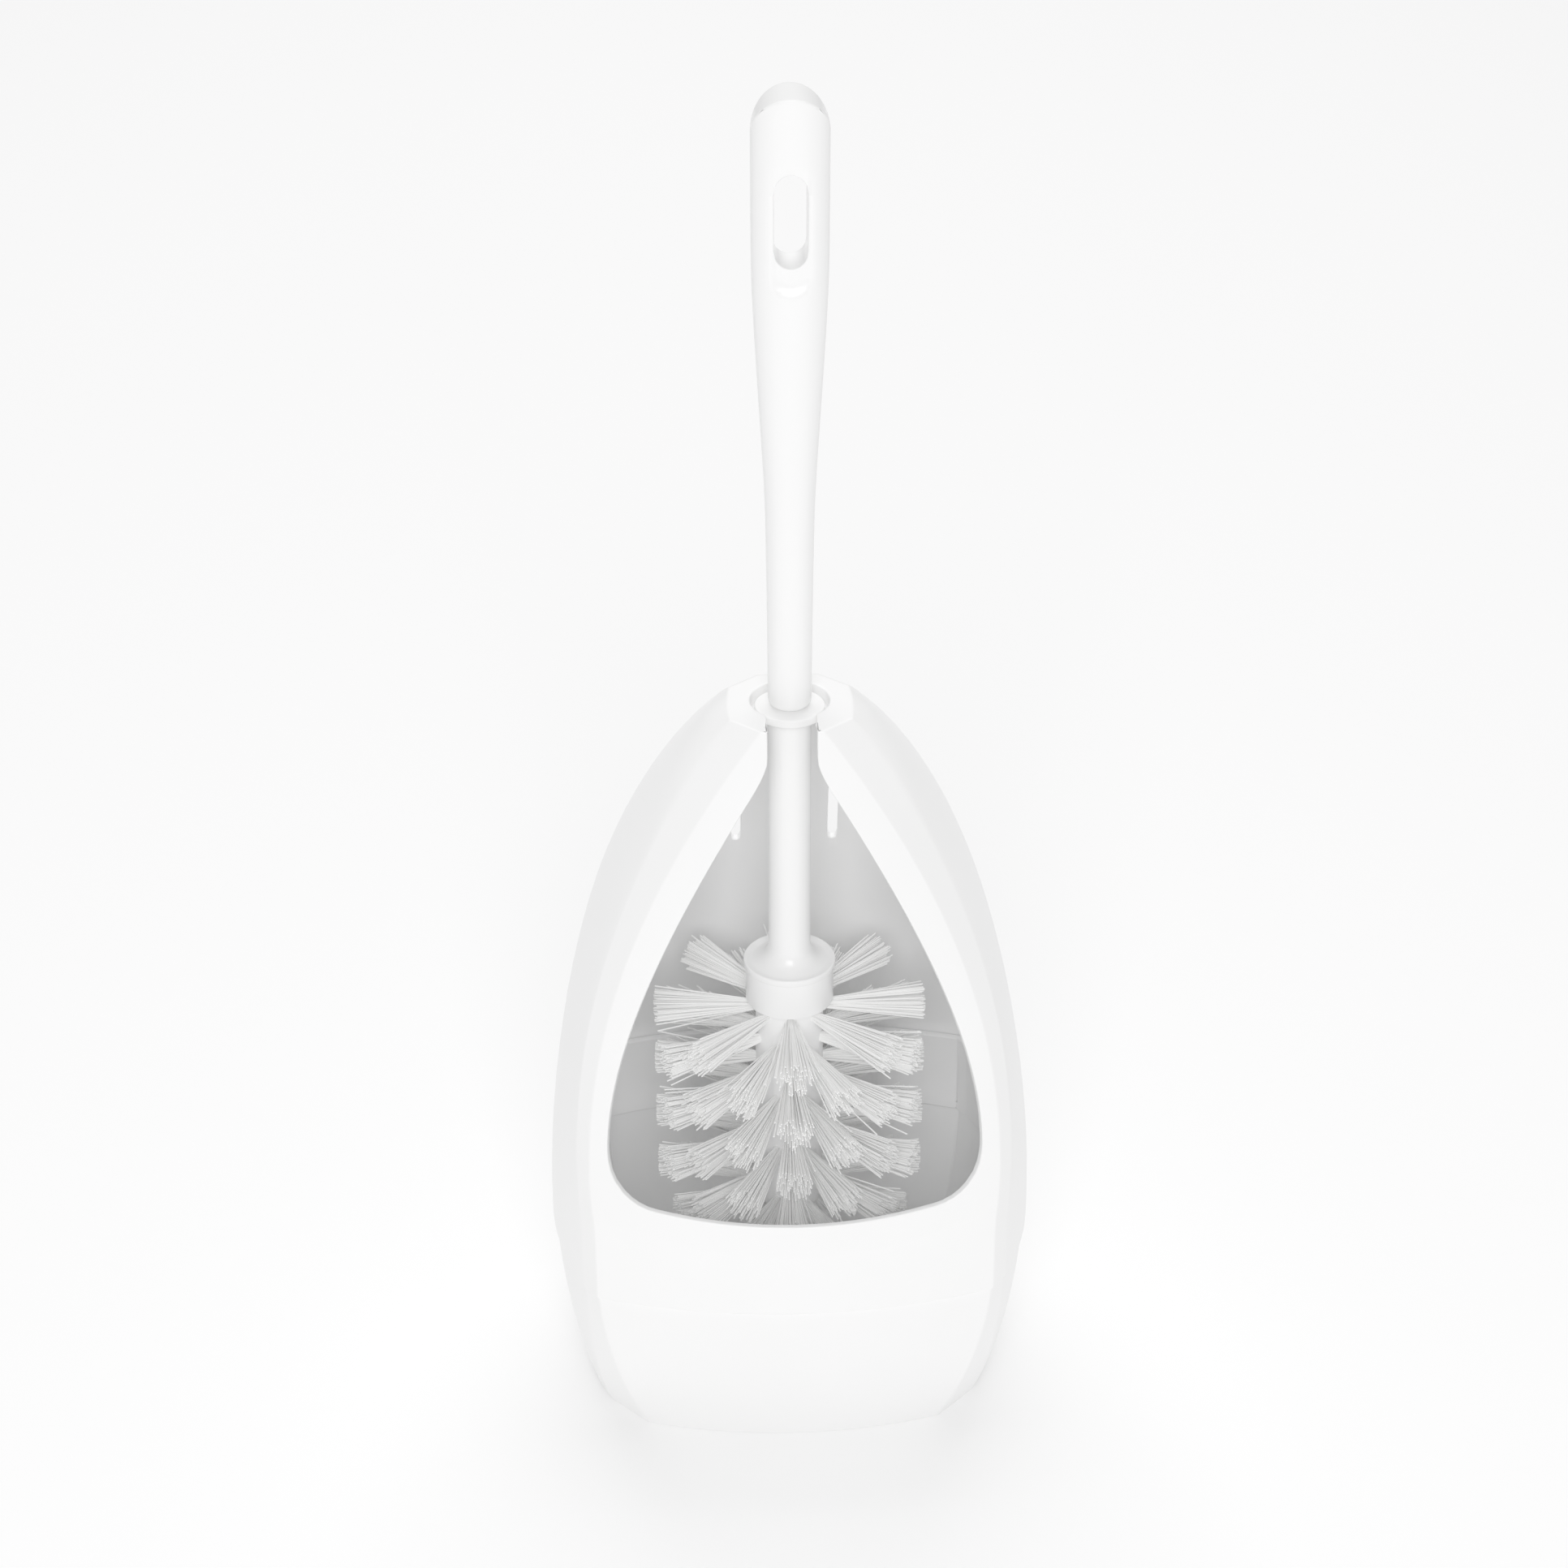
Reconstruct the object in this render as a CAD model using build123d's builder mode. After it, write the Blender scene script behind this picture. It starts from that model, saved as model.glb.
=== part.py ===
"""Toilet brush holder with its brush.

The holder is two mouldings: a drip tray, and an open-fronted shell that stands on the tray's rim.
The brush hangs in the shell: its collar disc rests in a round recess in the shell's top, the stem
passes through a slot, and the bristle head hangs over the tray.

Millimetres. +Z is up, +Y is the back, and the origin is on the floor on the brush's axis.
"""
import os
from math import cos, radians, sin, sqrt

from build123d import *

os.makedirs("parts", exist_ok=True)

# ---------------------------------------------------------------- driving dimensions

# Holder: heights above the floor
seam_height = 60.0            # where the shell stands on the tray
belt_height = 66.0            # where the holder is widest
cheek_height = 100.0          # where the corner facets stand furthest out
ridge_height = 80.5           # where the sloping front starts above the upright band
plateau_height = 232.0        # the flat top

# Holder: half widths of the side faces and of the two edges of each corner facet
side_at_top, side_at_belt, side_at_floor = 17.6, 72.4, 62.5
outer_edge_at_top, outer_edge_at_cheek, outer_edge_at_floor = 17.0, 63.4, 55.7
inner_edge_at_top, inner_edge_at_cheek, inner_edge_at_floor = 8.7, 59.4, 44.5
outer_draw_in, inner_draw_in = 0.8, 1.2   # how far the facet edges draw in again below the cheek

# Holder: how far the front and back faces stand from the brush's axis
front_at_plateau, front_at_ridge, front_at_seam, front_at_floor = 19.0, 58.0, 58.8, 42.5
back_at_plateau, back_at_belt, back_at_floor = 15.4, 57.5, 42.5
slope_face_radius = 200.0     # plan radius of the sloping front face
band_bow = 9.6                # how far the upright band bows out between its corner facets
back_bow_at_top = 0.6
floor_bow = 6.5               # the same at the tray's foot

# Holder: walls and fits
shell_wall = 2.5
tray_wall = 2.2
tray_floor = 2.5
tray_step = 0.9               # how far the tray's rim stands back under the shell
spigot_clearance = 0.4        # tray spigot to shell, all round
spigot_height = 25.0          # how far the spigot goes up inside the shell
spigot_draft = 0.35           # how much the spigot draws in at its top, to find its way in
plateau_thickness = 7.5

# Window and slot in the shell's front
window_sill = 89.5            # lowest point of the window
window_cheek = 108.0          # where the window is widest
window_half_width = 54.0
flank_drop = 1.55               # how steeply the window's flank leaves the slot
window_corner_height = 94.5
window_corner_radius = 15.0
slot_clearance = 1.3          # slot to stem, on each side
slot_depth = 11.0             # from the plateau down to where the slot opens out into the window
slot_flare_radius = 9.0

# Hanging slots in the shell's back wall
hanger_width = 3.0
hanger_spacing = 29.4
hanger_length = 33.6
hanger_drop = 37.0            # from the plateau down to the top of the slots

# Brush: collar and the recess that it drops into
collar_diameter = 19.8
collar_thickness = 2.4
recess_clearance = 1.35       # the recess is this much larger all round, to drop the collar in easily
recess_depth = 4.0

# Brush: stem and handle
stem_diameter = 12.2
handle_top = 406.0
handle_width = 20.5
handle_depth = 15.5
handle_foot_radius = 2.4
waist_width = 13.4
hang_slot_width = 8.8
hang_slot_length = 25.0
hang_slot_drop = 20.0         # from the top of the handle down to the slot
dish_width, dish_height, dish_depth = 14.0, 34.0, 1.3

# Brush: head
flange_diameter = 27.0
flange_thickness = 2.0
flange_top = 146.0
flare_radius = 4.0
hub_diameter = 25.8
hub_foot = 132.5
core_diameter = 20.0
core_end = 5.6                # how far the core goes on below its last row of tufts
thread_diameter = 7.0
thread_length = 14.0
thread_clearance = 0.05

# Brush: tufts
bristle_radius = 40.3
row_count = 8
row_pitch = 9.4
first_row_drop = 3.1          # from the hub's foot down to the first row
tufts_per_row = 8
tuft_tip_radius = 4.6
tuft_root_radius = 1.25
tuft_hole_clearance = 0.05
tuft_hole_depth = 4.6
end_round = 30.0              # radius that rounds the bristles off at the lower end
end_round_rise = 19.0         # the rounding starts this far above the core's foot
end_tuft_count = 6
end_tuft_lean = 32.0          # degrees from straight down
end_tuft_ring = 4.6
end_tuft_length = 11.5

# Tuft anchors: flat staple plates
anchor_length = 1.6
anchor_side_clearance = 0.15
anchor_thickness = 0.45

# Places that follow from the sizes above
slot_width = stem_diameter + 2 * slot_clearance
slot_foot = plateau_height - slot_depth
hang_slot_high = handle_top - hang_slot_drop
hang_slot_low = hang_slot_high - hang_slot_length
row_heights = [hub_foot - first_row_drop - row * row_pitch for row in range(row_count)]
core_foot = row_heights[-1] - core_end
end_round_height = core_foot + end_round_rise


# ---------------------------------------------------------------- the holder's outline

def swell(t, power, shape):
    """Goes from 0 at t = 0 to 1 at t = 1, fast at first and level at the end."""
    t = min(max(t, 0.0), 1.0)
    return (1 - (1 - t) ** power) ** shape


def mix(a, b, t):
    return a + (b - a) * t


def ease(t):
    """Goes from 0 to 1, level at both ends."""
    t = min(max(t, 0.0), 1.0)
    return t * t * (3 - 2 * t)


def egg(level, at_top, at_belt, shape):
    """The holder's egg curve, from the plateau down to the belt."""
    down = (plateau_height - level) / (plateau_height - belt_height)
    return mix(at_top, at_belt, swell(down, 1.85, shape))


def edge_half_width(level, at_top, at_cheek, shape, draw_in):
    down = (plateau_height - level) / (plateau_height - cheek_height)
    below = ease((cheek_height - level) / (cheek_height - ridge_height))
    return mix(at_top, at_cheek, swell(down, 2.0, shape)) - draw_in * below


def sloping_face(level):
    """Distance of the sloping front face from the axis, on the centre line."""
    return mix(front_at_plateau, front_at_ridge,
               (plateau_height - level) / (plateau_height - ridge_height))


def bow_over(half_width, radius):
    """How far an arc of this radius bows out over a chord of this half width."""
    return radius - sqrt(radius ** 2 - half_width ** 2)


def inset_outline(corners, bows, amount):
    """Move every edge of an outline inwards by amount, and give the new corners."""
    moved = []
    for i, corner in enumerate(corners):
        before, after = corners[i - 1], corners[(i + 1) % len(corners)]
        into = Vector(corner[0] - before[0], corner[1] - before[1]).normalized()
        away = Vector(after[0] - corner[0], after[1] - corner[1]).normalized()
        n1, n2 = Vector(-into.Y, into.X), Vector(-away.Y, away.X)
        shift = (n1 + n2) * (amount / (1 + n1.dot(n2)))
        moved.append((corner[0] + shift.X, corner[1] + shift.Y))
    return moved, bows


def full_outline(front, back, facet_inner, facet_outer, side, facet_front, facet_back,
                 front_bow, back_bow):
    """Corners, anticlockwise from the front face's left end, and the bow of each edge."""
    inner_front, inner_back = front - front_bow, back - back_bow
    corners = [
        (-facet_inner[0], -inner_front), (facet_inner[0], -inner_front),
        (facet_outer, -(inner_front - facet_front)), (facet_outer, inner_back - facet_back),
        (facet_inner[1], inner_back), (-facet_inner[1], inner_back),
        (-facet_outer, inner_back - facet_back), (-facet_outer, -(inner_front - facet_front)),
    ]
    side_bow = side - facet_outer
    return corners, [front_bow, 0, side_bow, 0, back_bow, 0, side_bow, 0]


def shell_outline(level, inset=0.0):
    """Outline of the shell, before its front is cut back to the sloping face."""
    inner = edge_half_width(level, inner_edge_at_top, inner_edge_at_cheek, 1.0, inner_draw_in)
    outer = edge_half_width(level, outer_edge_at_top, outer_edge_at_cheek, 0.94, outer_draw_in)
    rise = (level - seam_height) / (plateau_height - seam_height)
    facet_slope = mix(1.45, 0.85, rise)
    # Above the band each facet runs on past the sloping face, so the cut leaves a clean edge.
    above_band = ease((level - ridge_height) / (plateau_height - ridge_height) * 2.5)
    crease = mix(egg(level, front_at_plateau, front_at_seam, 0.8) - band_bow,
                 sloping_face(level) - bow_over(inner, slope_face_radius), above_band)
    past = 0.7 * (outer - inner) * above_band
    front_bow = mix(band_bow, 2.0, rise)
    back_bow = mix(band_bow, back_bow_at_top, swell(rise, 1.0, 1.0))
    corners, bows = full_outline(
        front=crease + facet_slope * past + front_bow,
        back=egg(level, back_at_plateau, back_at_belt, 0.78),
        facet_inner=(inner - past, inner), facet_outer=outer,
        side=egg(level, side_at_top, side_at_belt, 0.705),
        facet_front=facet_slope * (outer - inner + past), facet_back=facet_slope * (outer - inner),
        front_bow=front_bow, back_bow=back_bow)
    return inset_outline(corners, bows, inset) if inset else (corners, bows)


def tray_outline(level, inset=0.0):
    """Outline of the tray, from its foot to its rim."""
    up = level / seam_height
    (top, top_bows) = shell_outline(seam_height, tray_step)
    front_top = -top[0][1] + top_bows[0]
    back_top = top[4][1] + top_bows[4]
    inner = mix(inner_edge_at_floor, top[1][0], swell(up, 1.45, 1.0))
    outer = mix(outer_edge_at_floor, top[2][0], swell(up, 1.9, 1.0))
    side = mix(side_at_floor, top[2][0] + top_bows[2], swell(up, 1.6, 1.0))
    front = mix(front_at_floor, front_top, swell(up, 2.0, 1.0))
    back = mix(back_at_floor, back_top, swell(up, 2.0, 1.0))
    facet_front = mix(outer_edge_at_floor - inner_edge_at_floor, top[2][1] - top[1][1], up)
    facet_back = mix(outer_edge_at_floor - inner_edge_at_floor, top[4][1] - top[3][1], up)
    corners, bows = full_outline(front, back, (inner, mix(inner, top[4][0], up)), outer, side,
                                 facet_front, facet_back,
                                 mix(floor_bow, top_bows[0], up), mix(floor_bow, top_bows[4], up))
    return inset_outline(corners, bows, inset) if inset else (corners, bows)


def draw_outline(corners, bows):
    """Draw the outline's eight edges in the line that is being built."""
    for i, start in enumerate(corners):
        end = corners[(i + 1) % len(corners)]
        if bows[i]:
            along = Vector(end[0] - start[0], end[1] - start[1]).normalized()
            middle = ((start[0] + end[0]) / 2 + along.Y * bows[i],
                      (start[1] + end[1]) / 2 - along.X * bows[i])
            ThreePointArc(start, middle, end)
        else:
            Line(start, end)


def sloping_front_cutter(set_back):
    """Solid in front of the sloping face, from below the seam to above the plateau."""
    below, above = seam_height - 2, plateau_height + 5
    slope = (front_at_ridge - front_at_plateau) / (plateau_height - ridge_height)
    start = sloping_face(below) - set_back
    reach = 90.0
    bow = bow_over(reach, slope_face_radius)
    with BuildPart() as cutter:
        for level, ahead in ((below, start), (above, start - slope * (above - below))):
            with BuildSketch(Plane.XY.offset(level)):
                with BuildLine():
                    ThreePointArc((-reach, bow - ahead), (0, -ahead), (reach, bow - ahead))
                    Polyline((reach, bow - ahead), (reach, -160), (-reach, -160), (-reach, bow - ahead))
                make_face()
        loft(ruled=True)
    return cutter.part


# ---------------------------------------------------------------- holder shell

shell_levels = [seam_height, 70.0, 82.0, 98.0, 118.0, 142.0, 168.0, 195.0, 216.0, plateau_height]
cavity_top = plateau_height - plateau_thickness
cavity_levels = [seam_height - 1.0] + shell_levels[1:-1] + [cavity_top]
outer_front_cutter = sloping_front_cutter(0.0)
inner_front_cutter = sloping_front_cutter(shell_wall)

with BuildPart() as shell_cavity:
    for level in cavity_levels:
        with BuildSketch(Plane.XY.offset(level)):
            with BuildLine():
                draw_outline(*shell_outline(max(level, seam_height), shell_wall))
            make_face()
    loft()
    add(inner_front_cutter, mode=Mode.SUBTRACT)

with BuildPart() as holder_shell:
    for level in shell_levels:
        with BuildSketch(Plane.XY.offset(level)):
            with BuildLine():
                draw_outline(*shell_outline(level))
            make_face()
    loft()
    add(outer_front_cutter, mode=Mode.SUBTRACT)
    add(shell_cavity.part, mode=Mode.SUBTRACT)

    # The window, through the front wall only.
    with BuildSketch(Plane.XZ):
        with BuildLine():
            half_slot = slot_width / 2
            flank_control = (window_half_width, slot_foot - flank_drop * (window_half_width - half_slot))
            for side in (1, -1):
                Line((side * half_slot, plateau_height + 1), (side * half_slot, slot_foot))
                Bezier((side * half_slot, slot_foot), (side * flank_control[0], flank_control[1]),
                       (side * window_half_width, window_cheek))
                Line((side * window_half_width, window_cheek),
                     (side * (window_half_width - 1.5), window_corner_height))
            ThreePointArc((-(window_half_width - 1.5), window_corner_height), (0, window_sill),
                          (window_half_width - 1.5, window_corner_height))
            Line((half_slot, plateau_height + 1), (-half_slot, plateau_height + 1))
        make_face()
        fillet(vertices().group_by(Axis.Y)[0], window_corner_radius)
        fillet(vertices().group_by(Axis.Y)[-2], slot_flare_radius)
    extrude(amount=90, mode=Mode.SUBTRACT)

    # The slot from the front to the axis, and the recess for the collar.
    with BuildSketch(Plane.XY.offset(slot_foot - 2)):
        Circle(slot_width / 2)
        with Locations((0, -20)):
            Rectangle(slot_width, 40)
    extrude(amount=plateau_height - slot_foot + 4, mode=Mode.SUBTRACT)
    with BuildSketch(Plane.XY.offset(plateau_height - recess_depth)):
        Circle(collar_diameter / 2 + recess_clearance)
    extrude(amount=recess_depth + 1, mode=Mode.SUBTRACT)

    # Two hanging slots through the back wall.
    with BuildSketch(Plane.XZ.offset(-10)):
        with Locations((0, plateau_height - hanger_drop - hanger_length / 2)):
            with GridLocations(hanger_spacing, 0, 2, 1):
                SlotOverall(hanger_length, hanger_width, rotation=90)
    extrude(amount=-80, mode=Mode.SUBTRACT)

holder_shell.part.label = "holder_shell"
export_step(holder_shell.part, "parts/holder_shell.step")


# ---------------------------------------------------------------- drip tray

spigot_top = seam_height + spigot_height
spigot_inset = shell_wall + spigot_clearance
tray_levels = [0.0, 14.0, 30.0, 46.0, seam_height]

with BuildPart() as tray_hollow:
    for level in [tray_floor, 14.0, 30.0, 46.0]:
        with BuildSketch(Plane.XY.offset(level)):
            with BuildLine():
                draw_outline(*tray_outline(level, tray_wall))
            make_face()
    with BuildSketch(Plane.XY.offset(seam_height)):
        with BuildLine():
            draw_outline(*shell_outline(seam_height, spigot_inset + tray_wall))
        make_face()
    loft()

# The spigot goes up inside the shell, and its bore is open at the top.
with BuildPart() as spigot:
    for level, draft in ((seam_height, 0.0), (70.0, 0.0), (spigot_top, spigot_draft)):
        with BuildSketch(Plane.XY.offset(level)):
            with BuildLine():
                draw_outline(*shell_outline(level, spigot_inset + draft))
            make_face()
    loft()

with BuildPart() as spigot_bore:
    for level, draft in ((seam_height, 0.0), (70.0, 0.0), (spigot_top + 1, spigot_draft)):
        with BuildSketch(Plane.XY.offset(level)):
            with BuildLine():
                draw_outline(*shell_outline(level, spigot_inset + draft + tray_wall))
            make_face()
    loft()

with BuildPart() as drip_tray:
    for level in tray_levels:
        with BuildSketch(Plane.XY.offset(level)):
            with BuildLine():
                draw_outline(*tray_outline(level))
            make_face()
    loft()
    add(spigot.part)
    add(tray_hollow.part, mode=Mode.SUBTRACT)
    add(spigot_bore.part, mode=Mode.SUBTRACT)

drip_tray.part.label = "drip_tray"
export_step(drip_tray.part, "parts/drip_tray.step")


# ---------------------------------------------------------------- handle, collar and stem

collar_foot = plateau_height - recess_depth
collar_head = collar_foot + collar_thickness
arch_centre = handle_top - handle_width / 2
full_width_from = hang_slot_low - 4
waist_height = mix(collar_head, full_width_from, 0.5)

# Height, width and depth of the handle, from the collar up.
handle_sections = [
    (collar_head, stem_diameter, stem_diameter),
    (mix(collar_head, waist_height, 0.5), mix(stem_diameter, waist_width, 0.4), stem_diameter),
    (waist_height, waist_width, mix(stem_diameter, handle_depth, 0.25)),
    (mix(waist_height, full_width_from, 0.62), mix(waist_width, handle_width, 0.66),
     mix(stem_diameter, handle_depth, 0.7)),
    (full_width_from, handle_width, handle_depth),
    (mix(full_width_from, handle_top, 0.3), handle_width, handle_depth),
    (mix(full_width_from, handle_top, 0.6), handle_width, handle_depth),
    (handle_top, handle_width, handle_depth),
]

with BuildPart() as handle_grip:
    for height, width, depth in handle_sections:
        with BuildSketch(Plane.XY.offset(height)):
            Ellipse(width / 2, depth / 2)
    loft()
    # The arched top.
    with BuildSketch(Plane.XZ.offset(-handle_depth)):
        with Locations((0, arch_centre)):
            Circle(handle_width / 2 + 0.01)
        with Locations((0, (arch_centre + collar_head) / 2)):
            Rectangle(handle_width + 1, arch_centre - collar_head)
    extrude(amount=2 * handle_depth, mode=Mode.INTERSECT)
    fillet(faces().sort_by(Axis.Z)[0].edges(), handle_foot_radius)
    # The dished faces and the hang slot through them.
    slot_middle = (hang_slot_low + hang_slot_high) / 2
    for facing in (1, -1):
        with BuildSketch(Plane.XZ.offset(facing * (handle_depth / 2 - dish_depth))):
            with Locations((0, slot_middle - 3)):
                SlotOverall(dish_height, dish_width, rotation=90)
        extrude(amount=facing * 5, mode=Mode.SUBTRACT)
    with BuildSketch(Plane.XZ.offset(-handle_depth)):
        with Locations((0, slot_middle)):
            SlotOverall(hang_slot_high - hang_slot_low, hang_slot_width, rotation=90)
    extrude(amount=2 * handle_depth, mode=Mode.SUBTRACT)

handle_grip.part.label = "handle_grip"
export_step(handle_grip.part, "parts/handle_grip.step")

with BuildPart() as closing_collar:
    with BuildSketch(Plane.XY.offset(collar_foot)):
        Circle(collar_diameter / 2)
    extrude(amount=collar_thickness)
    fillet(edges().group_by(Axis.Z)[-1], 0.5)

closing_collar.part.label = "closing_collar"
export_step(closing_collar.part, "parts/closing_collar.step")

flange_foot = flange_top - flange_thickness
stem_radius = stem_diameter / 2
thread_hole = thread_diameter / 2 + thread_clearance

with BuildPart() as brush_stem:
    with BuildSketch(Plane.XZ):
        with BuildLine():
            Polyline((0, collar_foot), (stem_radius, collar_foot),
                     (stem_radius, flange_top + flare_radius))
            ThreePointArc((stem_radius, flange_top + flare_radius),
                          (stem_radius + flare_radius * (1 - cos(radians(45))),
                           flange_top + flare_radius * (1 - sin(radians(45)))),
                          (stem_radius + flare_radius, flange_top))
            Polyline((stem_radius + flare_radius, flange_top), (flange_diameter / 2, flange_top - 0.4),
                     (flange_diameter / 2, flange_foot), (thread_hole, flange_foot),
                     (thread_hole, flange_foot + thread_length + 1), (0, flange_foot + thread_length + 1),
                     (0, collar_foot))
        make_face()
    revolve(axis=Axis.Z)

brush_stem.part.label = "brush_stem"
export_step(brush_stem.part, "parts/brush_stem.step")


# ---------------------------------------------------------------- brush head

core_radius = core_diameter / 2


def row_turn(row):
    """Each row is turned by half a tuft from the row above, with a tuft at the front of the first."""
    return -90 + (row % 2) * 180 / tufts_per_row


def tuft_places(row):
    """One plane for each tuft of a row, on the axis and pointing outwards."""
    for i in range(tufts_per_row):
        angle = radians(row_turn(row) + i * 360 / tufts_per_row)
        yield Plane(origin=(0, 0, row_heights[row]), z_dir=(cos(angle), sin(angle), 0), x_dir=(0, 0, 1))


def end_tuft_places():
    """One plane for each tuft of the lower end, leaning outwards and downwards."""
    for i in range(end_tuft_count):
        angle = radians(-90 + (i + 0.5) * 360 / end_tuft_count)
        lean = radians(end_tuft_lean)
        outwards = Vector(cos(angle), sin(angle), 0)
        yield Plane(origin=outwards * end_tuft_ring + Vector(0, 0, core_foot + 4.0),
                    z_dir=outwards * sin(lean) + Vector(0, 0, -cos(lean)))


def row_reach(level):
    """How far the tufts of a row reach from the axis: the lower end is rounded off."""
    drop = max(0.0, end_round_height - level)
    return bristle_radius - end_round + sqrt(end_round ** 2 - min(drop, end_round - 2) ** 2)


hole_radius = tuft_root_radius + tuft_hole_clearance
hole_floor = core_radius - tuft_hole_depth
anchor_width = 2 * (hole_radius - anchor_side_clearance)

with BuildPart() as brush_core:
    with BuildSketch(Plane.XZ):
        with BuildLine():
            Polyline((0, flange_foot + thread_length), (thread_diameter / 2, flange_foot + thread_length),
                     (thread_diameter / 2, flange_foot), (hub_diameter / 2, flange_foot),
                     (hub_diameter / 2, hub_foot), (core_radius, hub_foot), (core_radius, core_foot + 3),
                     (core_radius - 3, core_foot), (0, core_foot), (0, flange_foot + thread_length))
        make_face()
    revolve(axis=Axis.Z)
    for row in range(row_count):
        for place in tuft_places(row):
            with BuildSketch(place.offset(hole_floor)):
                Circle(hole_radius)
            extrude(amount=tuft_hole_depth + 2, mode=Mode.SUBTRACT)
    for place in end_tuft_places():
        with BuildSketch(place):
            Circle(hole_radius)
        extrude(amount=12, mode=Mode.SUBTRACT)

brush_core.part.label = "brush_core"
export_step(brush_core.part, "parts/brush_core.step")


def tuft(place, start, reach, tip_radius):
    """A tuft: a root that fills its hole above the anchor, then a cone that fans out to its tip."""
    root_foot = start + anchor_length
    root_head = start + tuft_hole_depth
    with BuildPart() as shape:
        with BuildSketch(place.offset(root_foot)):
            Circle(tuft_root_radius)
        extrude(amount=root_head - root_foot)
        with BuildSketch(place.offset(root_head)):
            Circle(tuft_root_radius)
        with BuildSketch(place.offset(reach)):
            Circle(tip_radius)
        loft()
    return shape.part


def anchor(place, start):
    """A flat staple plate at the bottom of a tuft's hole."""
    with BuildPart() as shape:
        with BuildSketch(place.offset(start)):
            Rectangle(anchor_width, anchor_thickness)
        extrude(amount=anchor_length)
    return shape.part


def save_group(pieces, name):
    group = Compound(label=name, children=pieces)
    export_step(group, f"parts/{name}.step")


for row in range(row_count):
    reach = row_reach(row_heights[row])
    spread = (reach - core_radius) / (bristle_radius - core_radius)
    tip_radius = mix(tuft_root_radius, tuft_tip_radius, spread)
    save_group([tuft(place, hole_floor, reach, tip_radius) for place in tuft_places(row)],
               f"bristle_row_{row + 1}")
    save_group([anchor(place, hole_floor) for place in tuft_places(row)],
               f"tuft_anchors_row_{row + 1}")

save_group([tuft(place, 0, end_tuft_length, 2.2) for place in end_tuft_places()], "bristle_end_tufts")
save_group([anchor(place, 0) for place in end_tuft_places()], "tuft_anchors_end")
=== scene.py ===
# %% [markdown]
# # Toilet brush holder with its brush
#
# The holder is two white polypropylene mouldings: a drip tray, and an open-fronted shell that
# stands on the tray's rim. The brush hangs from a collar in the shell's top. The working model is
# loaded first as a fixed frame, and every visible piece is built round it, in metres.

# %% Load the frame
import math
from math import cos, radians, sin, sqrt

import bmesh
import bpy
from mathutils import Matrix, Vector


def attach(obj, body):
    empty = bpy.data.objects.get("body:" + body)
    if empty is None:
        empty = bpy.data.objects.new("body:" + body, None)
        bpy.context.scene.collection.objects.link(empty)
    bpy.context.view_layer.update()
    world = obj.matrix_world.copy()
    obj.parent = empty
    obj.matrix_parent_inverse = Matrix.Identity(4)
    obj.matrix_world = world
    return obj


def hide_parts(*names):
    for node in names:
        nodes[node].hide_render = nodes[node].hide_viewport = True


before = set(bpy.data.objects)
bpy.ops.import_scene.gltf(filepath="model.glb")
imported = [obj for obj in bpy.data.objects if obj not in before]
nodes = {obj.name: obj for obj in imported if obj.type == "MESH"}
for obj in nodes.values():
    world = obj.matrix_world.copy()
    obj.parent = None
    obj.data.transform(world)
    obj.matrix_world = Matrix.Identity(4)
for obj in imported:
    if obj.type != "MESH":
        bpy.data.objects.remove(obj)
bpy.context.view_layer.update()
MM = 0.001

# %% [markdown]
# ## The camera
#
# A camera on a table stand looks down at the open front from a little to the left. Its place is
# given by the distance to the brush's axis, its height above the floor and its turn round the axis.

# %% Camera
CAMERA_DISTANCE = 0.760
CAMERA_HEIGHT = 0.646
CAMERA_TURN = radians(2.3)
CAMERA_AIM = radians(2.18)
CAMERA_PITCH = radians(30.15)
CAMERA_LENS = 71.05

camera_data = bpy.data.cameras.new("camera")
camera_data.lens = CAMERA_LENS
camera_data.sensor_width = 36.0
camera_data.clip_start = 0.05
camera = bpy.data.objects.new("camera", camera_data)
bpy.context.scene.collection.objects.link(camera)
camera.location = (-CAMERA_DISTANCE * sin(CAMERA_TURN),
                   -CAMERA_DISTANCE * cos(CAMERA_TURN), CAMERA_HEIGHT)
camera.rotation_euler = (radians(90) - CAMERA_PITCH, 0, -CAMERA_AIM)
bpy.context.scene.camera = camera
print("camera stands", [round(c, 3) for c in camera.location])

# %% [markdown]
# ## Light and floor
#
# White plastic on a white ground shows its shape only by soft shading. One soft panel stands over a
# metre behind the camera and a little to its left, so its light goes deep into the shell. A wide one
# hangs high at the back for the far floor, and a third hangs over the object for its top faces.
# The picture's gamma is raised, so that the shaded inside stays light and the lit faces don't burn
# out.

# %% Surroundings and panels
SKY_STRENGTH = 0.12
PICTURE_GAMMA = 2.0
# name, place, point it faces, side of the square, power in watts
PANELS = (
    ("panel_front", (-0.08, -1.9, 1.3), (0, 0, 0.18), 1.0, 27.0),
    ("panel_back", (0.0, 2.0, 3.0), (0, 1.2, 0.0), 3.0, 60.0),
    ("panel_overhead", (0.0, 0.4, 3.0), (0, 0.1, 0.0), 2.4, 24.0),
)
scene = bpy.context.scene
scene.view_settings.view_transform = "Standard"
scene.view_settings.gamma = PICTURE_GAMMA
world = bpy.data.worlds.new("studio")
scene.world = world
world.use_nodes = True
background = world.node_tree.nodes["Background"]
background.inputs["Color"].default_value = (1.0, 1.0, 1.0, 1.0)
background.inputs["Strength"].default_value = SKY_STRENGTH


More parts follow.
